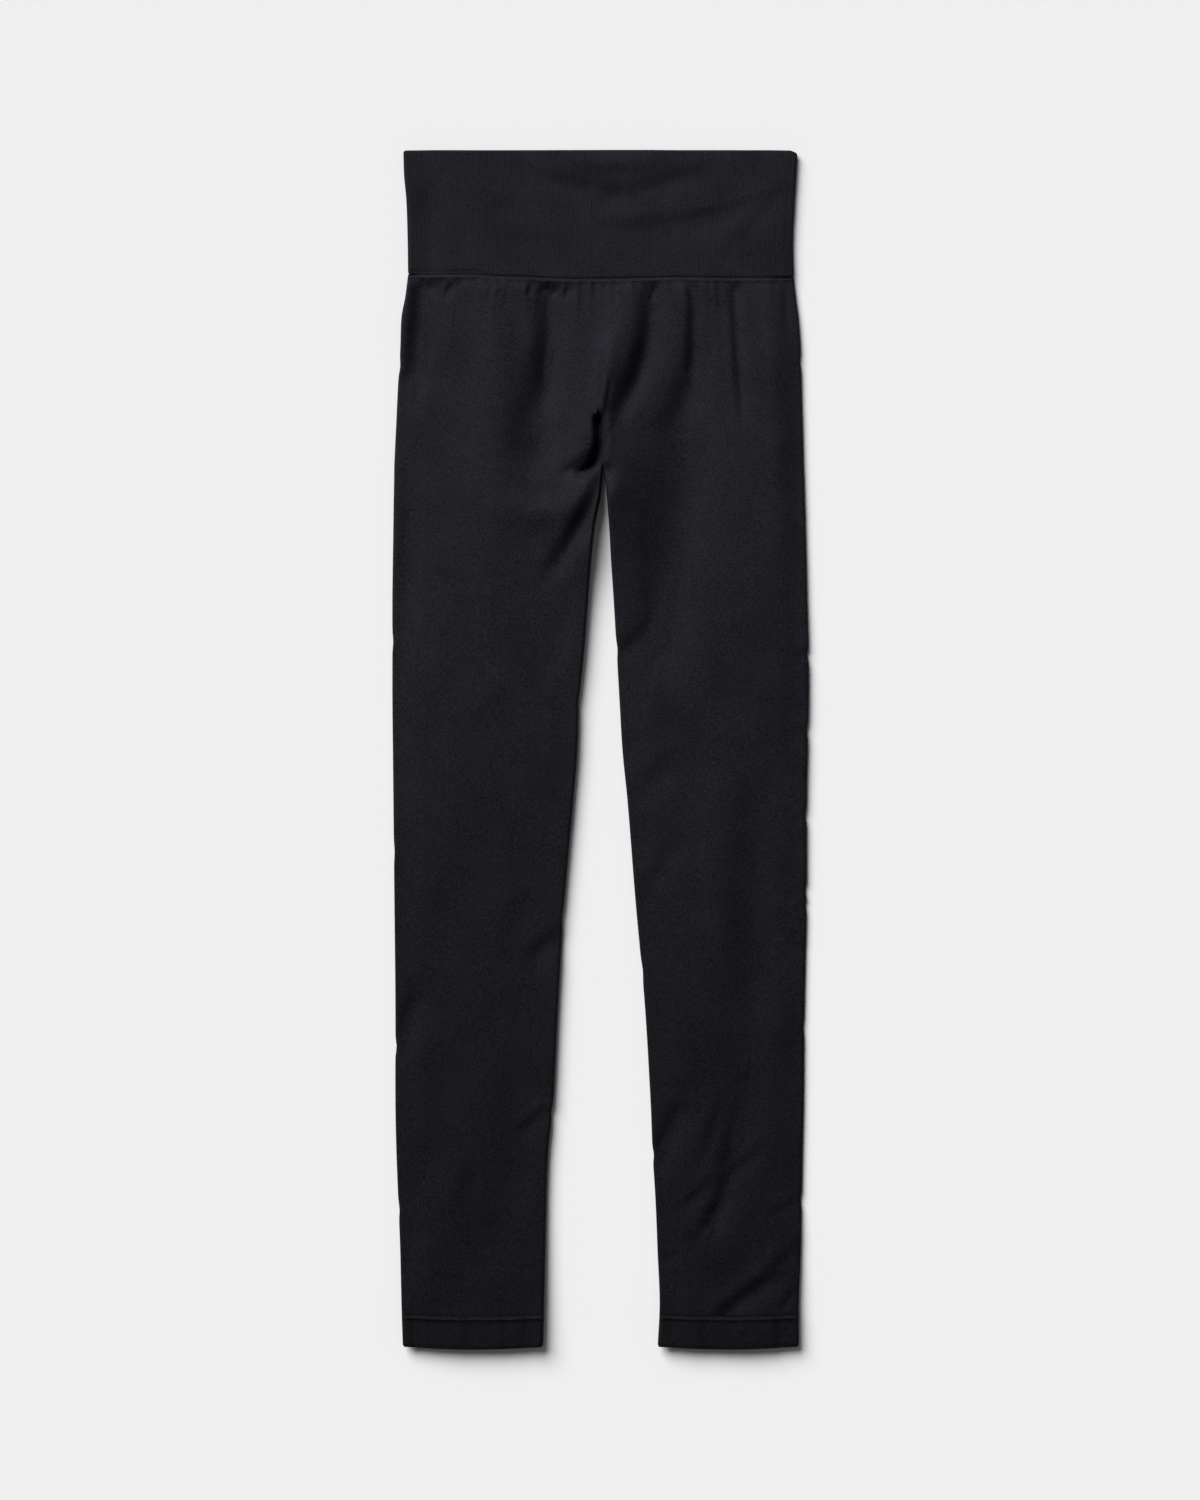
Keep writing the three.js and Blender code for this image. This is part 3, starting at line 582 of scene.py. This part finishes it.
def inner_rise(x, down):
    """How much higher the inner folds of the legs stand than the side folds. The left one stands highest."""
    from_seam = x - follow(OUTLINE, "seam", down)
    from_inner = np.maximum(np.abs(from_seam) - parting(down) / 2, 0)
    rise = np.where(from_seam < 0, follow(INNER_RISE, "left", down), follow(INNER_RISE, "right", down))
    return rise * bell(from_inner, INNER_RISE_REACH)


def lift(down):
    """How far the back is clear of the surface, near the hems."""
    return HEM_LIFT * smooth((down - HEM_BOTTOM + HEM_LIFT_LENGTH) / HEM_LIFT_LENGTH) ** 2


def seam_profile(distance):
    """The dip and the roll of cloth beside a seam."""
    away = np.abs(distance)
    return SEAM_ROLL * bell(away - SEAM_ROLL_AT, SEAM_ROLL_REACH) - SEAM_DIP * bell(away, SEAM_DIP_REACH)


def drift(x, down):
    """Slow, uneven waves, such as any laid knit has. They are stronger below the knees. Their lengths in
    millimetres are picked so that no pattern shows."""
    broad = np.sin(x / 17 + 1.7 * np.sin(down / 71)) * np.sin(down / 43 + x / 39 + 0.8)
    slanted = np.sin((down + 0.8 * x) / 13 + 1.6 * np.sin(x / 27)) * np.sin((down - 1.3 * x) / 31 + 1.1)
    growth = mix(*DRIFT_GROWTH, smooth((down - DRIFT_GROWS_FROM) / DRIFT_GROWS_OVER))
    return DRIFT * (broad + 0.4 * slanted) * growth


def leg_height(x, down):
    left = follow(OUTLINE, "left", down)
    right = follow(OUTLINE, "right", down)
    from_side = np.minimum(x - left, right - x)
    from_inner = np.abs(x - follow(OUTLINE, "seam", down)) - parting(down) / 2
    across = mix(1, smooth(from_inner / EDGE_SLOPE), smooth((down - CROTCH_DOWN) / CROTCH_FADE))
    rise = smooth(from_side / EDGE_SLOPE) * across
    loft = mix(BODY_LOFT, SHIN_LOFT, smooth((down - CROTCH_DOWN) / (SHIN_DOWN - CROTCH_DOWN)))
    height = mix(LEG_EDGE, loft + drift(x, down), rise)
    relief = swell_height(x, down) * rise + inner_rise(x, down)
    relief += crease_height(HIP_CREASES + CROTCH_CREASES + LEG_CREASES, x, down)
    below_seam = down - WAISTBAND_HEIGHT - SEWN_FLAT
    gathers = pucker_height(x, down)
    height += relief * smooth(below_seam / SEWN_FADE) + gathers * smooth(below_seam / PUCKER_FADE)
    height += seam_profile(down - WAISTBAND_HEIGHT) - HEM_GROOVE * bell(down - HEM_TOP, SEAM_DIP_REACH)
    return np.maximum(height, LEAST_HEIGHT)


def hem_height(x, down, leg):
    from_edge = np.minimum(np.abs(x - leg["side"](down)), np.abs(x - leg["inner"](down)))
    height = mix(HEM_EDGE, HEM_LOFT, smooth(from_edge / EDGE_SLOPE)) + DOUBLE_DRIFT * drift(x, down)
    return height + crease_height(HEM_CREASES, x, down) + inner_rise(x, down)


def waistband_height(x, down):
    left = follow(WAISTBAND_OUTLINE, "left", down)
    right = follow(WAISTBAND_OUTLINE, "right", down)
    rise = smooth(np.minimum(x - left, right - x) / EDGE_SLOPE)
    height = mix(WAISTBAND_EDGE, WAISTBAND_LOFT, rise) + crease_height(WAISTBAND_CREASES, x, down)
    return height + DOUBLE_DRIFT * drift(x, down)


sample = leg_height(np.linspace(-150, 150, 61)[None, :], np.linspace(110, 920, 163)[:, None])
print("height of the legs over the surface:", round(sample.min(), 1), "to", round(sample.max(), 1), "mm")

# %% [markdown]
# ## From a grid to a flattened tube
# A knitted tube that is laid flat has a back, a fold, a front and another fold. A grid primitive is bent
# into that shape: its columns go round the tube and its rows down it. Where the tube is closed, the first
# and the last column are merged. The body is slit at the middle above the crotch, so there the last fold is
# deleted and the two cut edges stay open. Solidify then gives the sheet its thickness inwards.


# %% Bend a grid round a tube
RAISE_LEVELS = 200  # a vertex group is filled level by level
MERGE_DISTANCE = 0.01
SHARP_ANGLE = math.radians(50)


def round_the_tube(back, fold, front):
    """The columns of a tube: the stretch that each is on (0 back, 1 far fold, 2 front, 3 near fold), and how
    far along it."""
    stretches = [
        (0, np.linspace(0, 1, back + 1)),
        (1, np.arange(1, fold) / fold),
        (2, front),
        (3, np.arange(1, fold) / fold),
        (0, np.zeros(1)),
    ]
    part = np.concatenate([np.full(len(share), which) for which, share in stretches])
    return part, np.concatenate([share for which, share in stretches])


def tube_points(part, share, first, second, near_radius, far_radius, height, floor, depth):
    """x and z of every point of a flattened tube. Its rows are the first axis and its columns the second."""
    inwards = np.sign(second - first)
    near, far = first + inwards * near_radius, second - inwards * far_radius
    fold_x = np.where(part == 1, far, near)
    x = np.select([part == 0, part == 2], [mix(near, far, share), mix(far, near, share)], fold_x)
    top = height(x)
    angle = math.pi * np.where(part == 1, share - 0.5, 0.5 - share)
    half = top / 2
    round_z = floor + half + (half - depth) * np.sin(angle)
    reach = np.where(part == 1, inwards * (far_radius - depth), -inwards * (near_radius - depth))
    round_x = x + reach * np.cos(angle)
    on_fold = (part == 1) | (part == 3)
    z = np.where(on_fold, round_z, np.where(part == 0, floor + depth, floor + top - depth))
    return np.where(on_fold, round_x, x), z


def cloth_from_grid(name, x, y, z, keep, knit_u, knit_v, thickness, raised=None):
    """A sheet of cloth from a grid primitive whose points are moved to x, y and z, in millimetres. They are
    its outer side, or its inner side where raised gives the share of the thickness that stands on each."""
    rows, columns = x.shape
    deselect()
    bpy.ops.mesh.primitive_grid_add(x_subdivisions=columns - 1, y_subdivisions=rows - 1, size=1)
    sheet = bpy.context.object
    sheet.name = sheet.data.name = name
    mesh = sheet.data
    flat = np.empty(len(mesh.vertices) * 3)
    mesh.vertices.foreach_get("co", flat)
    flat = flat.reshape(-1, 3)
    column = np.rint((flat[:, 0] + 0.5) * (columns - 1)).astype(int)
    row = np.rint((flat[:, 1] + 0.5) * (rows - 1)).astype(int)
    placed = np.stack([x[row, column], y[row, column], z[row, column]], axis=1) * MM
    mesh.vertices.foreach_set("co", placed.ravel())
    corner = np.empty(len(mesh.loops), int)
    mesh.loops.foreach_get("vertex_index", corner)
    chart = mesh.uv_layers.new(name="knit")
    mesh.uv_layers.active = chart
    around = np.stack([knit_u[row, column][corner], knit_v[row, column][corner]], axis=1) * MM
    chart.data.foreach_set("uv", around.ravel())
    for other in [layer.name for layer in mesh.uv_layers if layer.name != "knit"]:
        mesh.uv_layers.remove(mesh.uv_layers[other])
    if raised is not None:
        group = sheet.vertex_groups.new(name="raised")
        level = np.rint(raised[row, column] * RAISE_LEVELS).astype(int)
        for step in np.unique(level):
            group.add(np.flatnonzero(level == step).tolist(), step / RAISE_LEVELS, "REPLACE")
    first_corner = np.empty(len(mesh.polygons), int)
    mesh.polygons.foreach_get("loop_start", first_corner)
    each = corner[first_corner[:, None] + np.arange(4)]
    cell_row, cell_column = row[each].min(axis=1), column[each].min(axis=1)
    mesh.update()
    bpy.ops.object.mode_set(mode="EDIT")
    bpy.ops.mesh.select_mode(type="FACE")
    bpy.ops.object.mode_set(mode="OBJECT")
    mesh.polygons.foreach_set("select", ~keep[cell_row, cell_column])
    bpy.ops.object.mode_set(mode="EDIT")
    if not keep.all():
        bpy.ops.mesh.delete(type="FACE")
    bpy.ops.mesh.select_all(action="SELECT")
    bpy.ops.mesh.remove_doubles(threshold=MERGE_DISTANCE * MM)
    bpy.ops.object.mode_set(mode="OBJECT")
    face_outwards(sheet)
    wall = sheet.modifiers.new("wall", "SOLIDIFY")
    wall.thickness = thickness * MM
    wall.offset = -1
    if raised is not None:
        wall.offset = 1
        wall.vertex_group = "raised"
    bpy.ops.object.modifier_apply(modifier=wall.name)
    sheet.vertex_groups.clear()
    bpy.ops.object.shade_smooth_by_angle(angle=SHARP_ANGLE)
    print(name, "faces:", len(mesh.polygons))
    return sheet


def face_outwards(sheet):
    """Turns the faces round if the ones on top look down."""
    deselect()
    sheet.select_set(True)
    bpy.context.view_layer.objects.active = sheet
    normals = np.empty(len(sheet.data.polygons) * 3)
    centres = np.empty(len(sheet.data.polygons) * 3)
    sheet.data.polygons.foreach_get("normal", normals)
    sheet.data.polygons.foreach_get("center", centres)
    heights = centres.reshape(-1, 3)[:, 2]
    upper = normals.reshape(-1, 3)[heights > np.median(heights), 2]
    if upper.mean() < 0:
        bpy.ops.object.mode_set(mode="EDIT")
        bpy.ops.mesh.select_all(action="SELECT")
        bpy.ops.mesh.flip_normals()
        bpy.ops.object.mode_set(mode="OBJECT")


def along(x, z):
    """The distance round a tube from its first column, for the knit's own coordinates."""
    steps = np.hypot(np.diff(x, axis=1), np.diff(z, axis=1))
    return np.concatenate([np.zeros((len(x), 1)), np.cumsum(steps, axis=1)], axis=1)


# %% [markdown]
# ## Finishes
# The whole garment is one black yarn, faintly blue. Its colour is painted lightest at the hips and evenly
# darker down the legs to the hems, which are the darkest: this is painted shade for the light that falls off
# down the garment. Fine knit has three scales: the stitches, a speckle of a millimetre or two, and slow
# blotches. The stitches are a bump, the blotches a tone, and the speckle is both. The knit's own coordinates,
# in metres round and down the tube, carry the stitches over the folds.


# %% Build the knit material
SPECKLE_SIZE, BLOTCH_SIZE = 1.35, 34
SPECKLE_RELIEF, SPECKLE_STRENGTH = 0.12, 0.5
BLOTCH_TONE = 0.85
LEAST_TONE = 0.1
ROUGHNESS, SPECULAR, SPECULAR_TINT = 0.75, 0.1, (0.9, 0.88, 1, 1)
SHEEN, SHEEN_ROUGHNESS = 0.005, 0.5
# Painted shade: the knit's colour darkens between these two places, from the hips to the ankles.
PAINTED_SHADE_FROM, PAINTED_SHADE_TO = 130, 900  # down the garment


def node(tree, kind, **settings):
    made = tree.nodes.new(kind)
    for name, value in settings.items():
        setattr(made, name, value)
    return made


def sum_of(tree, operation, a, b=0.0, c=0.0):
    """A Math node, whose inputs are numbers or outputs of other nodes."""
    made = node(tree, "ShaderNodeMath", operation=operation)
    for slot, value in enumerate((a, b, c)):
        if isinstance(value, (int, float)):
            made.inputs[slot].default_value = value
        else:
            tree.links.new(value, made.inputs[slot])
    return made.outputs[0]


def stitches(tree, wale, course):
    """Height of the V-shaped stitches of a jersey: columns one wale wide, with a stitch every course."""
    chart = node(tree, "ShaderNodeUVMap", uv_map="knit")
    apart = node(tree, "ShaderNodeSeparateXYZ")
    tree.links.new(chart.outputs[0], apart.inputs[0])
    across = sum_of(tree, "FRACT", sum_of(tree, "MULTIPLY", apart.outputs[0], 1 / (wale * MM)))
    from_middle = sum_of(tree, "ABSOLUTE", sum_of(tree, "MULTIPLY_ADD", across, 2.0, -1.0))
    rows = sum_of(tree, "MULTIPLY", apart.outputs[1], 1 / (course * MM))
    slanted = sum_of(tree, "MULTIPLY_ADD", from_middle, -0.4, rows)
    loop = sum_of(tree, "COSINE", sum_of(tree, "MULTIPLY", slanted, 2 * math.pi))
    column = sum_of(tree, "MULTIPLY_ADD", sum_of(tree, "MULTIPLY", from_middle, from_middle), -1.0, 1.0)
    return sum_of(tree, "MULTIPLY", column, sum_of(tree, "MULTIPLY_ADD", loop, 0.3, 0.7))


def speckle(tree, size, detail):
    """Uneven yarn: a noise with features of the given size in millimetres."""
    place = node(tree, "ShaderNodeTexCoord")
    noise = node(tree, "ShaderNodeTexNoise")
    noise.inputs["Scale"].default_value = 1 / (size * MM)
    noise.inputs["Detail"].default_value = detail
    tree.links.new(place.outputs["Object"], noise.inputs["Vector"])
    return noise.outputs[0]


def bump(tree, height, distance, strength, below=None):
    made = node(tree, "ShaderNodeBump")
    made.inputs["Distance"].default_value = distance * MM
    made.inputs["Strength"].default_value = strength
    tree.links.new(height, made.inputs["Height"])
    if below is not None:
        tree.links.new(below, made.inputs["Normal"])
    return made.outputs[0]


def knit_material(name, color, wale, course, stitch_relief, contrast, fade):
    """Black knit. fade lists the brightness at the waist and at the ankles, a painted shade that darkens the
    colour down the garment.
    """
    material = bpy.data.materials.new(name)
    material.use_nodes = True
    tree = material.node_tree
    shader = tree.nodes["Principled BSDF"]
    shader.inputs["Roughness"].default_value = ROUGHNESS
    shader.inputs["Specular IOR Level"].default_value = SPECULAR
    shader.inputs["Specular Tint"].default_value = SPECULAR_TINT
    shader.inputs["Sheen Weight"].default_value = SHEEN
    shader.inputs["Sheen Roughness"].default_value = SHEEN_ROUGHNESS
    fine, slow = speckle(tree, SPECKLE_SIZE, 2), speckle(tree, BLOTCH_SIZE, 3)
    blotch = sum_of(tree, "MULTIPLY_ADD", sum_of(tree, "SUBTRACT", slow, 0.5), BLOTCH_TONE, 1.0)
    place = node(tree, "ShaderNodeTexCoord")
    apart = node(tree, "ShaderNodeSeparateXYZ")
    tree.links.new(place.outputs["Object"], apart.inputs[0])
    # Painted shade: the colour is darkened down the garment by fade, from the hips to the ankles.
    shade = node(tree, "ShaderNodeMapRange", interpolation_type="LINEAR")
    shade.inputs["From Min"].default_value = (TOP_Y - PAINTED_SHADE_FROM) * MM
    shade.inputs["From Max"].default_value = (TOP_Y - PAINTED_SHADE_TO) * MM
    shade.inputs["To Min"].default_value = fade[0]
    shade.inputs["To Max"].default_value = fade[1]
    tree.links.new(apart.outputs[1], shade.inputs[0])
    spread = sum_of(tree, "MULTIPLY_ADD", shade.outputs[0], contrast / 2, contrast / 2)
    grain = sum_of(tree, "MULTIPLY", sum_of(tree, "SUBTRACT", fine, 0.5), spread)
    tone = sum_of(tree, "MAXIMUM", sum_of(tree, "MULTIPLY_ADD", blotch, shade.outputs[0], grain), LEAST_TONE)
    paint = node(tree, "ShaderNodeVectorMath", operation="SCALE")
    paint.inputs[0].default_value = color
    tree.links.new(tone, paint.inputs["Scale"])
    tree.links.new(paint.outputs[0], shader.inputs["Base Color"])
    loops = bump(tree, stitches(tree, wale, course), stitch_relief, 1.0)
    yarn = bump(tree, fine, SPECKLE_RELIEF, SPECKLE_STRENGTH, loops)
    tree.links.new(yarn, shader.inputs["Normal"])
    return material


RIB_COLOR = (0.0096, 0.0096, 0.0128)
JERSEY_COLOR = (0.0100, 0.0098, 0.0134)
# Painted shade: the hem colour is the yarn's, darkened to carry on the legs' painted darkening towards the
# hems.
HEM_COLOR = (0.0034, 0.0034, 0.0044)
RIB_STITCH = {"wale": 0.84, "course": 1.1, "stitch_relief": 0.1}
JERSEY_STITCH = {"wale": 0.9, "course": 0.75, "stitch_relief": 0.08}

# The jersey's fade darkens its colour down the legs as painted shade.
RIB = knit_material("rib_knit", RIB_COLOR, **RIB_STITCH, contrast=1.9, fade=(1, 1))
JERSEY = knit_material("jersey", JERSEY_COLOR, **JERSEY_STITCH, contrast=2.6, fade=(1, 0.36))
HEM = knit_material("hem_knit", HEM_COLOR, **JERSEY_STITCH, contrast=4.6, fade=(1, 1))


# %% [markdown]
# ## Sewing
# The sewing is black thread on black knit, so only its shape shows. A stitch is modelled once, as a long
# bead that is sunk halfway into the cloth, and a row of copies is joined to the piece that it is sewn
# through.


# %% Sew a row of stitches
STITCH_SIZE = (2.3, 0.6, 0.5)  # along the row, across it and upwards
STITCH_PITCH = 2.9


def sew(piece, x, y, z):
    """Joins a row of stitches to a piece, one at each place, each turned to lie along the row."""
    deselect()
    bpy.ops.mesh.primitive_uv_sphere_add(segments=8, ring_count=6, radius=0.5)
    bead = bpy.context.object
    form = np.array([vertex.co for vertex in bead.data.vertices]) * STITCH_SIZE
    faces = [np.array(face.vertices) for face in bead.data.polygons]
    bpy.data.objects.remove(bead)
    turn = np.arctan2(np.gradient(y), np.gradient(x))[:, None]
    points = np.stack(
        [
            x[:, None] + form[:, 0] * np.cos(turn) - form[:, 1] * np.sin(turn),
            y[:, None] + form[:, 0] * np.sin(turn) + form[:, 1] * np.cos(turn),
            z[:, None] + form[:, 2] + 0 * turn,
        ],
        axis=2,
    )
    mesh = bpy.data.meshes.new(piece.name + "_stitches")
    copies = [(face + k * len(form)).tolist() for k in range(len(x)) for face in faces]
    mesh.from_pydata((points.reshape(-1, 3) * MM).tolist(), [], copies)
    mesh.uv_layers.new(name="knit")
    mesh.polygons.foreach_set("use_smooth", np.ones(len(mesh.polygons), bool))
    row = bpy.data.objects.new(mesh.name, mesh)
    bpy.context.scene.collection.objects.link(row)
    row.select_set(True)
    piece.select_set(True)
    bpy.context.view_layer.objects.active = piece
    bpy.ops.object.join()
    print(piece.name, "stitches:", len(x))


# %% [markdown]
# ## Ties
# Each finished piece gets one material and rides on the body of the imported model, and the solid that it
# replaces is hidden.


# %% Tie a piece to the imported model
def finish_piece(piece, material, solid):
    """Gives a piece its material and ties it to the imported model."""
    piece.data.materials.clear()
    piece.data.materials.append(material)
    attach(piece, BODY)
    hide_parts(solid)
    return piece


# %% [markdown]
# ## Waistband
# The band is one-by-one rib, knitted as a tube and folded double at its top edge. The ribs are the piece's
# most regular feature, and they show as fine upright lines, so they are modelled and not just painted: four
# columns of points go round each rib. Its top edge is rounded over and its lower edge is drawn in by the
# seam.

# %% Knit the waistband
RIB_PITCH, RIB_HEIGHT = 1.68, 0.38
RIBBED_WIDTH = 301
RIBS = round(RIBBED_WIDTH / RIB_PITCH)
POINTS_A_RIB = 4
SIDE_RIBS = 6
BAND_THICKNESS = 2.0
CORNER_DROP, CORNER_WIDTH, CORNER_LENGTH = 2.4, 8, 16
EDGE_ROUND, EDGE_ROUND_LENGTH = 0.9, 1.2
SEAM_TUCK_REACH = 0.9
BACKSTITCH_UP = 2.6  # the second line of sewing at the left, above the seam
BACKSTITCH_FROM, BACKSTITCH_TO, BACKSTITCH_FADE = -153, -92, 4
BACKSTITCH_DEPTH, BACKSTITCH_REACH = 0.9, 0.8
BACKSTITCH_FIRST, BACKSTITCH_LAST, BACKSTITCH_SINK = -150, -94, 0.5


def waistband_rows():
    middle = np.linspace(2.2, WAISTBAND_HEIGHT - 6, 22)
    sewn = WAISTBAND_HEIGHT - np.array([4.4, 3.4, 2.6, 1.8, 1.1, 0.5, 0.0])
    return np.concatenate([[0, 0.35, 1.0], middle, sewn])


def knit_waistband():
    part, share = round_the_tube(
        RIBS * POINTS_A_RIB, SIDE_RIBS * POINTS_A_RIB, np.linspace(0, 1, RIBS * POINTS_A_RIB + 1)
    )
    down = waistband_rows()[:, None]
    left = follow(WAISTBAND_OUTLINE, "left", down)
    right = follow(WAISTBAND_OUTLINE, "right", down)
    groove = 0.5 - 0.5 * np.cos(2 * math.pi * np.arange(len(part)) / POINTS_A_RIB)
    tuck = EDGE_ROUND * (1 - smooth(down / EDGE_ROUND_LENGTH))
    tuck += SEAM_DIP * bell(down - WAISTBAND_HEIGHT, SEAM_TUCK_REACH)
    depth = RIB_HEIGHT * groove[None, :] + tuck
    radius = np.full_like(down, WAISTBAND_EDGE / 2)

    def height(x):
        stitched = smooth((x - BACKSTITCH_FROM) / BACKSTITCH_FADE)
        stitched = stitched * smooth((BACKSTITCH_TO - x) / BACKSTITCH_FADE)
        line = bell(down - WAISTBAND_HEIGHT + BACKSTITCH_UP, BACKSTITCH_REACH) * stitched
        return waistband_height(x, down) + RIB_HEIGHT - BACKSTITCH_DEPTH * line

    inside = np.full_like(depth, BAND_THICKNESS)
    x, z = tube_points(part, share, left, right, radius, radius, height, 0, inside)
    corner = CORNER_DROP * smooth((x - right) / CORNER_WIDTH + 1) ** 2 * (1 - smooth(down / CORNER_LENGTH))
    y = TOP_Y - down - corner - seam_drop(x, down)
    keep = np.ones((len(down) - 1, len(part) - 1), bool)
    knit_u = np.broadcast_to(np.arange(len(part)) * RIB_PITCH / POINTS_A_RIB, x.shape)
    knit_v = np.broadcast_to(down, x.shape)
    raised = 1 - depth / BAND_THICKNESS
    band = cloth_from_grid("ribbed_waistband", x, y, z, keep, knit_u, knit_v, BAND_THICKNESS, raised)
    stitch_x = np.arange(BACKSTITCH_FIRST, BACKSTITCH_LAST, STITCH_PITCH)
    line = WAISTBAND_HEIGHT - BACKSTITCH_UP
    stitch_z = waistband_height(stitch_x, line) - BACKSTITCH_SINK
    sew(band, stitch_x, TOP_Y - line - seam_drop(stitch_x, line), stitch_z)
    return band


waistband = finish_piece(knit_waistband(), RIB, "waistband")

# %% [markdown]
# ## Legs
# Each leg is one tube of jersey with its half of the body. Its columns are closest near the inner edge,
# where the deep crotch folds are, and its rows are closest at the hips. Under the crotch the inner fold
# grows out of the end of the slit, so its radius starts from nothing there.

# %% Knit the legs
LEG_THICKNESS = 0.9
BACK_STEPS, FOLD_STEPS, FRONT_STEPS = 22, 8, 104
INNER_CROWDING = 0.62
PUCKERS_END, CROTCH_END, ANKLE_FOLDS_FROM = 30, 100, 750  # where the spacing of the rows changes
CROTCH_ROUNDING = 20  # how far below the crotch the inner fold reaches its full radius


def bow(across, down):
    """How much lower the middle of a leg lies than its edges."""
    return HEM_BOW * np.sin(math.pi * across) * np.clip((down - HEM_BOTTOM) / BOW_LENGTH + 1, 0, 1)


def across_share(part, share):
    """How far across its leg each column lies, from the inner edge to the side."""
    return np.select([part == 0, part == 1, part == 2], [share, np.ones_like(share), 1 - share], 0)


def leg_rows():
    return np.concatenate(
        [
            WAISTBAND_HEIGHT + np.array([0.0, 0.6, 1.2, 1.9, 2.7, 3.8]),
            np.linspace(WAISTBAND_HEIGHT + 4.8, WAISTBAND_HEIGHT + PUCKERS_END, 26)[:-1],
            np.linspace(WAISTBAND_HEIGHT + PUCKERS_END, CROTCH_DOWN, 57)[:-1],
            np.linspace(CROTCH_DOWN, CROTCH_DOWN + CROTCH_END, 51)[:-1],
            np.linspace(CROTCH_DOWN + CROTCH_END, ANKLE_FOLDS_FROM, 93)[:-1],
            np.linspace(ANKLE_FOLDS_FROM, HEM_TOP - 4, 72),
            HEM_TOP - np.array([2.8, 1.9, 1.2, 0.6, 0.0]),
        ]
    )


def knit_leg(name, leg):
    even = np.linspace(0, 1, FRONT_STEPS + 1)
    front = mix(even, np.sin(even * math.pi / 2), INNER_CROWDING)
    part, share = round_the_tube(BACK_STEPS, FOLD_STEPS, front)
    down = leg_rows()[:, None]
    first, second = leg["inner"](down), leg["side"](down)
    far_radius = np.full_like(down, LEG_EDGE / 2)
    near_radius = far_radius * np.sqrt(np.clip((down - CROTCH_DOWN) / CROTCH_ROUNDING, 0, 1))
    x, z = tube_points(
        part, share, first, second, near_radius, far_radius, lambda x: leg_height(x, down), lift(down), 0
    )
    y = TOP_Y - down - bow(across_share(part, share), down) - seam_drop(x, down)
    keep = np.ones((len(down) - 1, len(part) - 1), bool)
    slit = (down[:-1, 0] < CROTCH_DOWN - MERGE_DISTANCE)[:, None]
    front_end = np.flatnonzero(part == 2)[-1]
    keep[slit & (np.arange(len(part) - 1) >= front_end)[None, :]] = False
    return cloth_from_grid(name, x, y, z, keep, along(x, z), np.broadcast_to(down, x.shape), LEG_THICKNESS)


left_leg = finish_piece(knit_leg("left_leg_jersey", LEGS["left"]), JERSEY, "left_leg")
right_leg = finish_piece(knit_leg("right_leg_jersey", LEGS["right"]), JERSEY, "right_leg")

# %% [markdown]
# ## Hems
# A hem is the end of the tube turned up and sewn, so it is double cloth, stiffer than the leg. Its lower
# edge is a fold, and its middle bows a little lower than its corners.

# %% Turn the hems
HEM_THICKNESS = 1.7
HEM_ROUND_LENGTH = 1.4
HEM_ROWS = np.array([0.0, 0.6, 1.2, 2.0, 2.7, 3.4, 4.4, 6.0, 9.0, 12.0, 15.0, 18.0, 21.5, 24.2, 25.2, 25.8])


def turn_hem(name, leg):
    part, share = round_the_tube(BACK_STEPS, FOLD_STEPS, np.linspace(0, 1, FRONT_STEPS + 1))
    down = HEM_TOP + HEM_ROWS[:, None]
    radius = np.full_like(down, HEM_EDGE / 2)
    tuck = EDGE_ROUND * smooth((down - HEM_BOTTOM) / HEM_ROUND_LENGTH + 1)

    def height(x):
        ridge = HEM_RIDGE * bell(down - HEM_TOP - HEM_RIDGE_AT, HEM_RIDGE_REACH)
        return hem_height(x, down, leg) + ridge - HEM_GROOVE * bell(down - HEM_TOP, SEAM_DIP_REACH)

    first, second = leg["inner"](down), leg["side"](down)
    x, z = tube_points(part, share, first, second, radius, radius, height, lift(down), tuck)
    y = TOP_Y - down - bow(across_share(part, share), down) + np.zeros_like(x)
    keep = np.ones((len(down) - 1, len(part) - 1), bool)
    hem = cloth_from_grid(name, x, y, z, keep, along(x, z), np.broadcast_to(down, x.shape), HEM_THICKNESS)
    ridge = np.flatnonzero(HEM_ROWS == HEM_RIDGE_AT)[0]
    for which in (2, 0):
        row_x, row_y, row_z = (points[ridge, part == which] for points in (x, y, z))
        order = np.argsort(row_x)
        stitch_x = np.arange(row_x.min() + STITCH_PITCH / 2, row_x.max(), STITCH_PITCH)
        places = [np.interp(stitch_x, row_x[order], row[order]) for row in (row_y, row_z)]
        sew(hem, stitch_x, *places)
    return hem


left_hem = finish_piece(turn_hem("left_turned_hem", LEGS["left"]), HEM, "left_hem")
right_hem = finish_piece(turn_hem("right_turned_hem", LEGS["right"]), HEM, "right_hem")

# %% [markdown]
# The cut of what shows of each sheet, all round its tube, is printed. A leg narrows from thigh to ankle, so
# its area is printed too: the width round the tube, added up down the leg.


def tube_area(leg, top, bottom):
    down = np.linspace(top, bottom, 400)
    return float(np.mean(2 * np.abs(leg["side"](down) - leg["inner"](down)))) * (bottom - top) * MM * MM


def declare_tube(piece, leg, top, bottom):
    down = np.linspace(top, bottom, 100)
    widest = float(np.max(2 * np.abs(leg["side"](down) - leg["inner"](down)))) * MM
    area = tube_area(leg, top, bottom)
    print(piece.name, "cut", round(widest, 3), "by", round((bottom - top) * MM, 3), "m, area", round(area, 4))


declare_tube(left_leg, LEGS["left"], WAISTBAND_HEIGHT, HEM_TOP)
declare_tube(right_leg, LEGS["right"], WAISTBAND_HEIGHT, HEM_TOP)
declare_tube(left_hem, LEGS["left"], HEM_TOP, HEM_BOTTOM)
declare_tube(right_hem, LEGS["right"], HEM_TOP, HEM_BOTTOM)
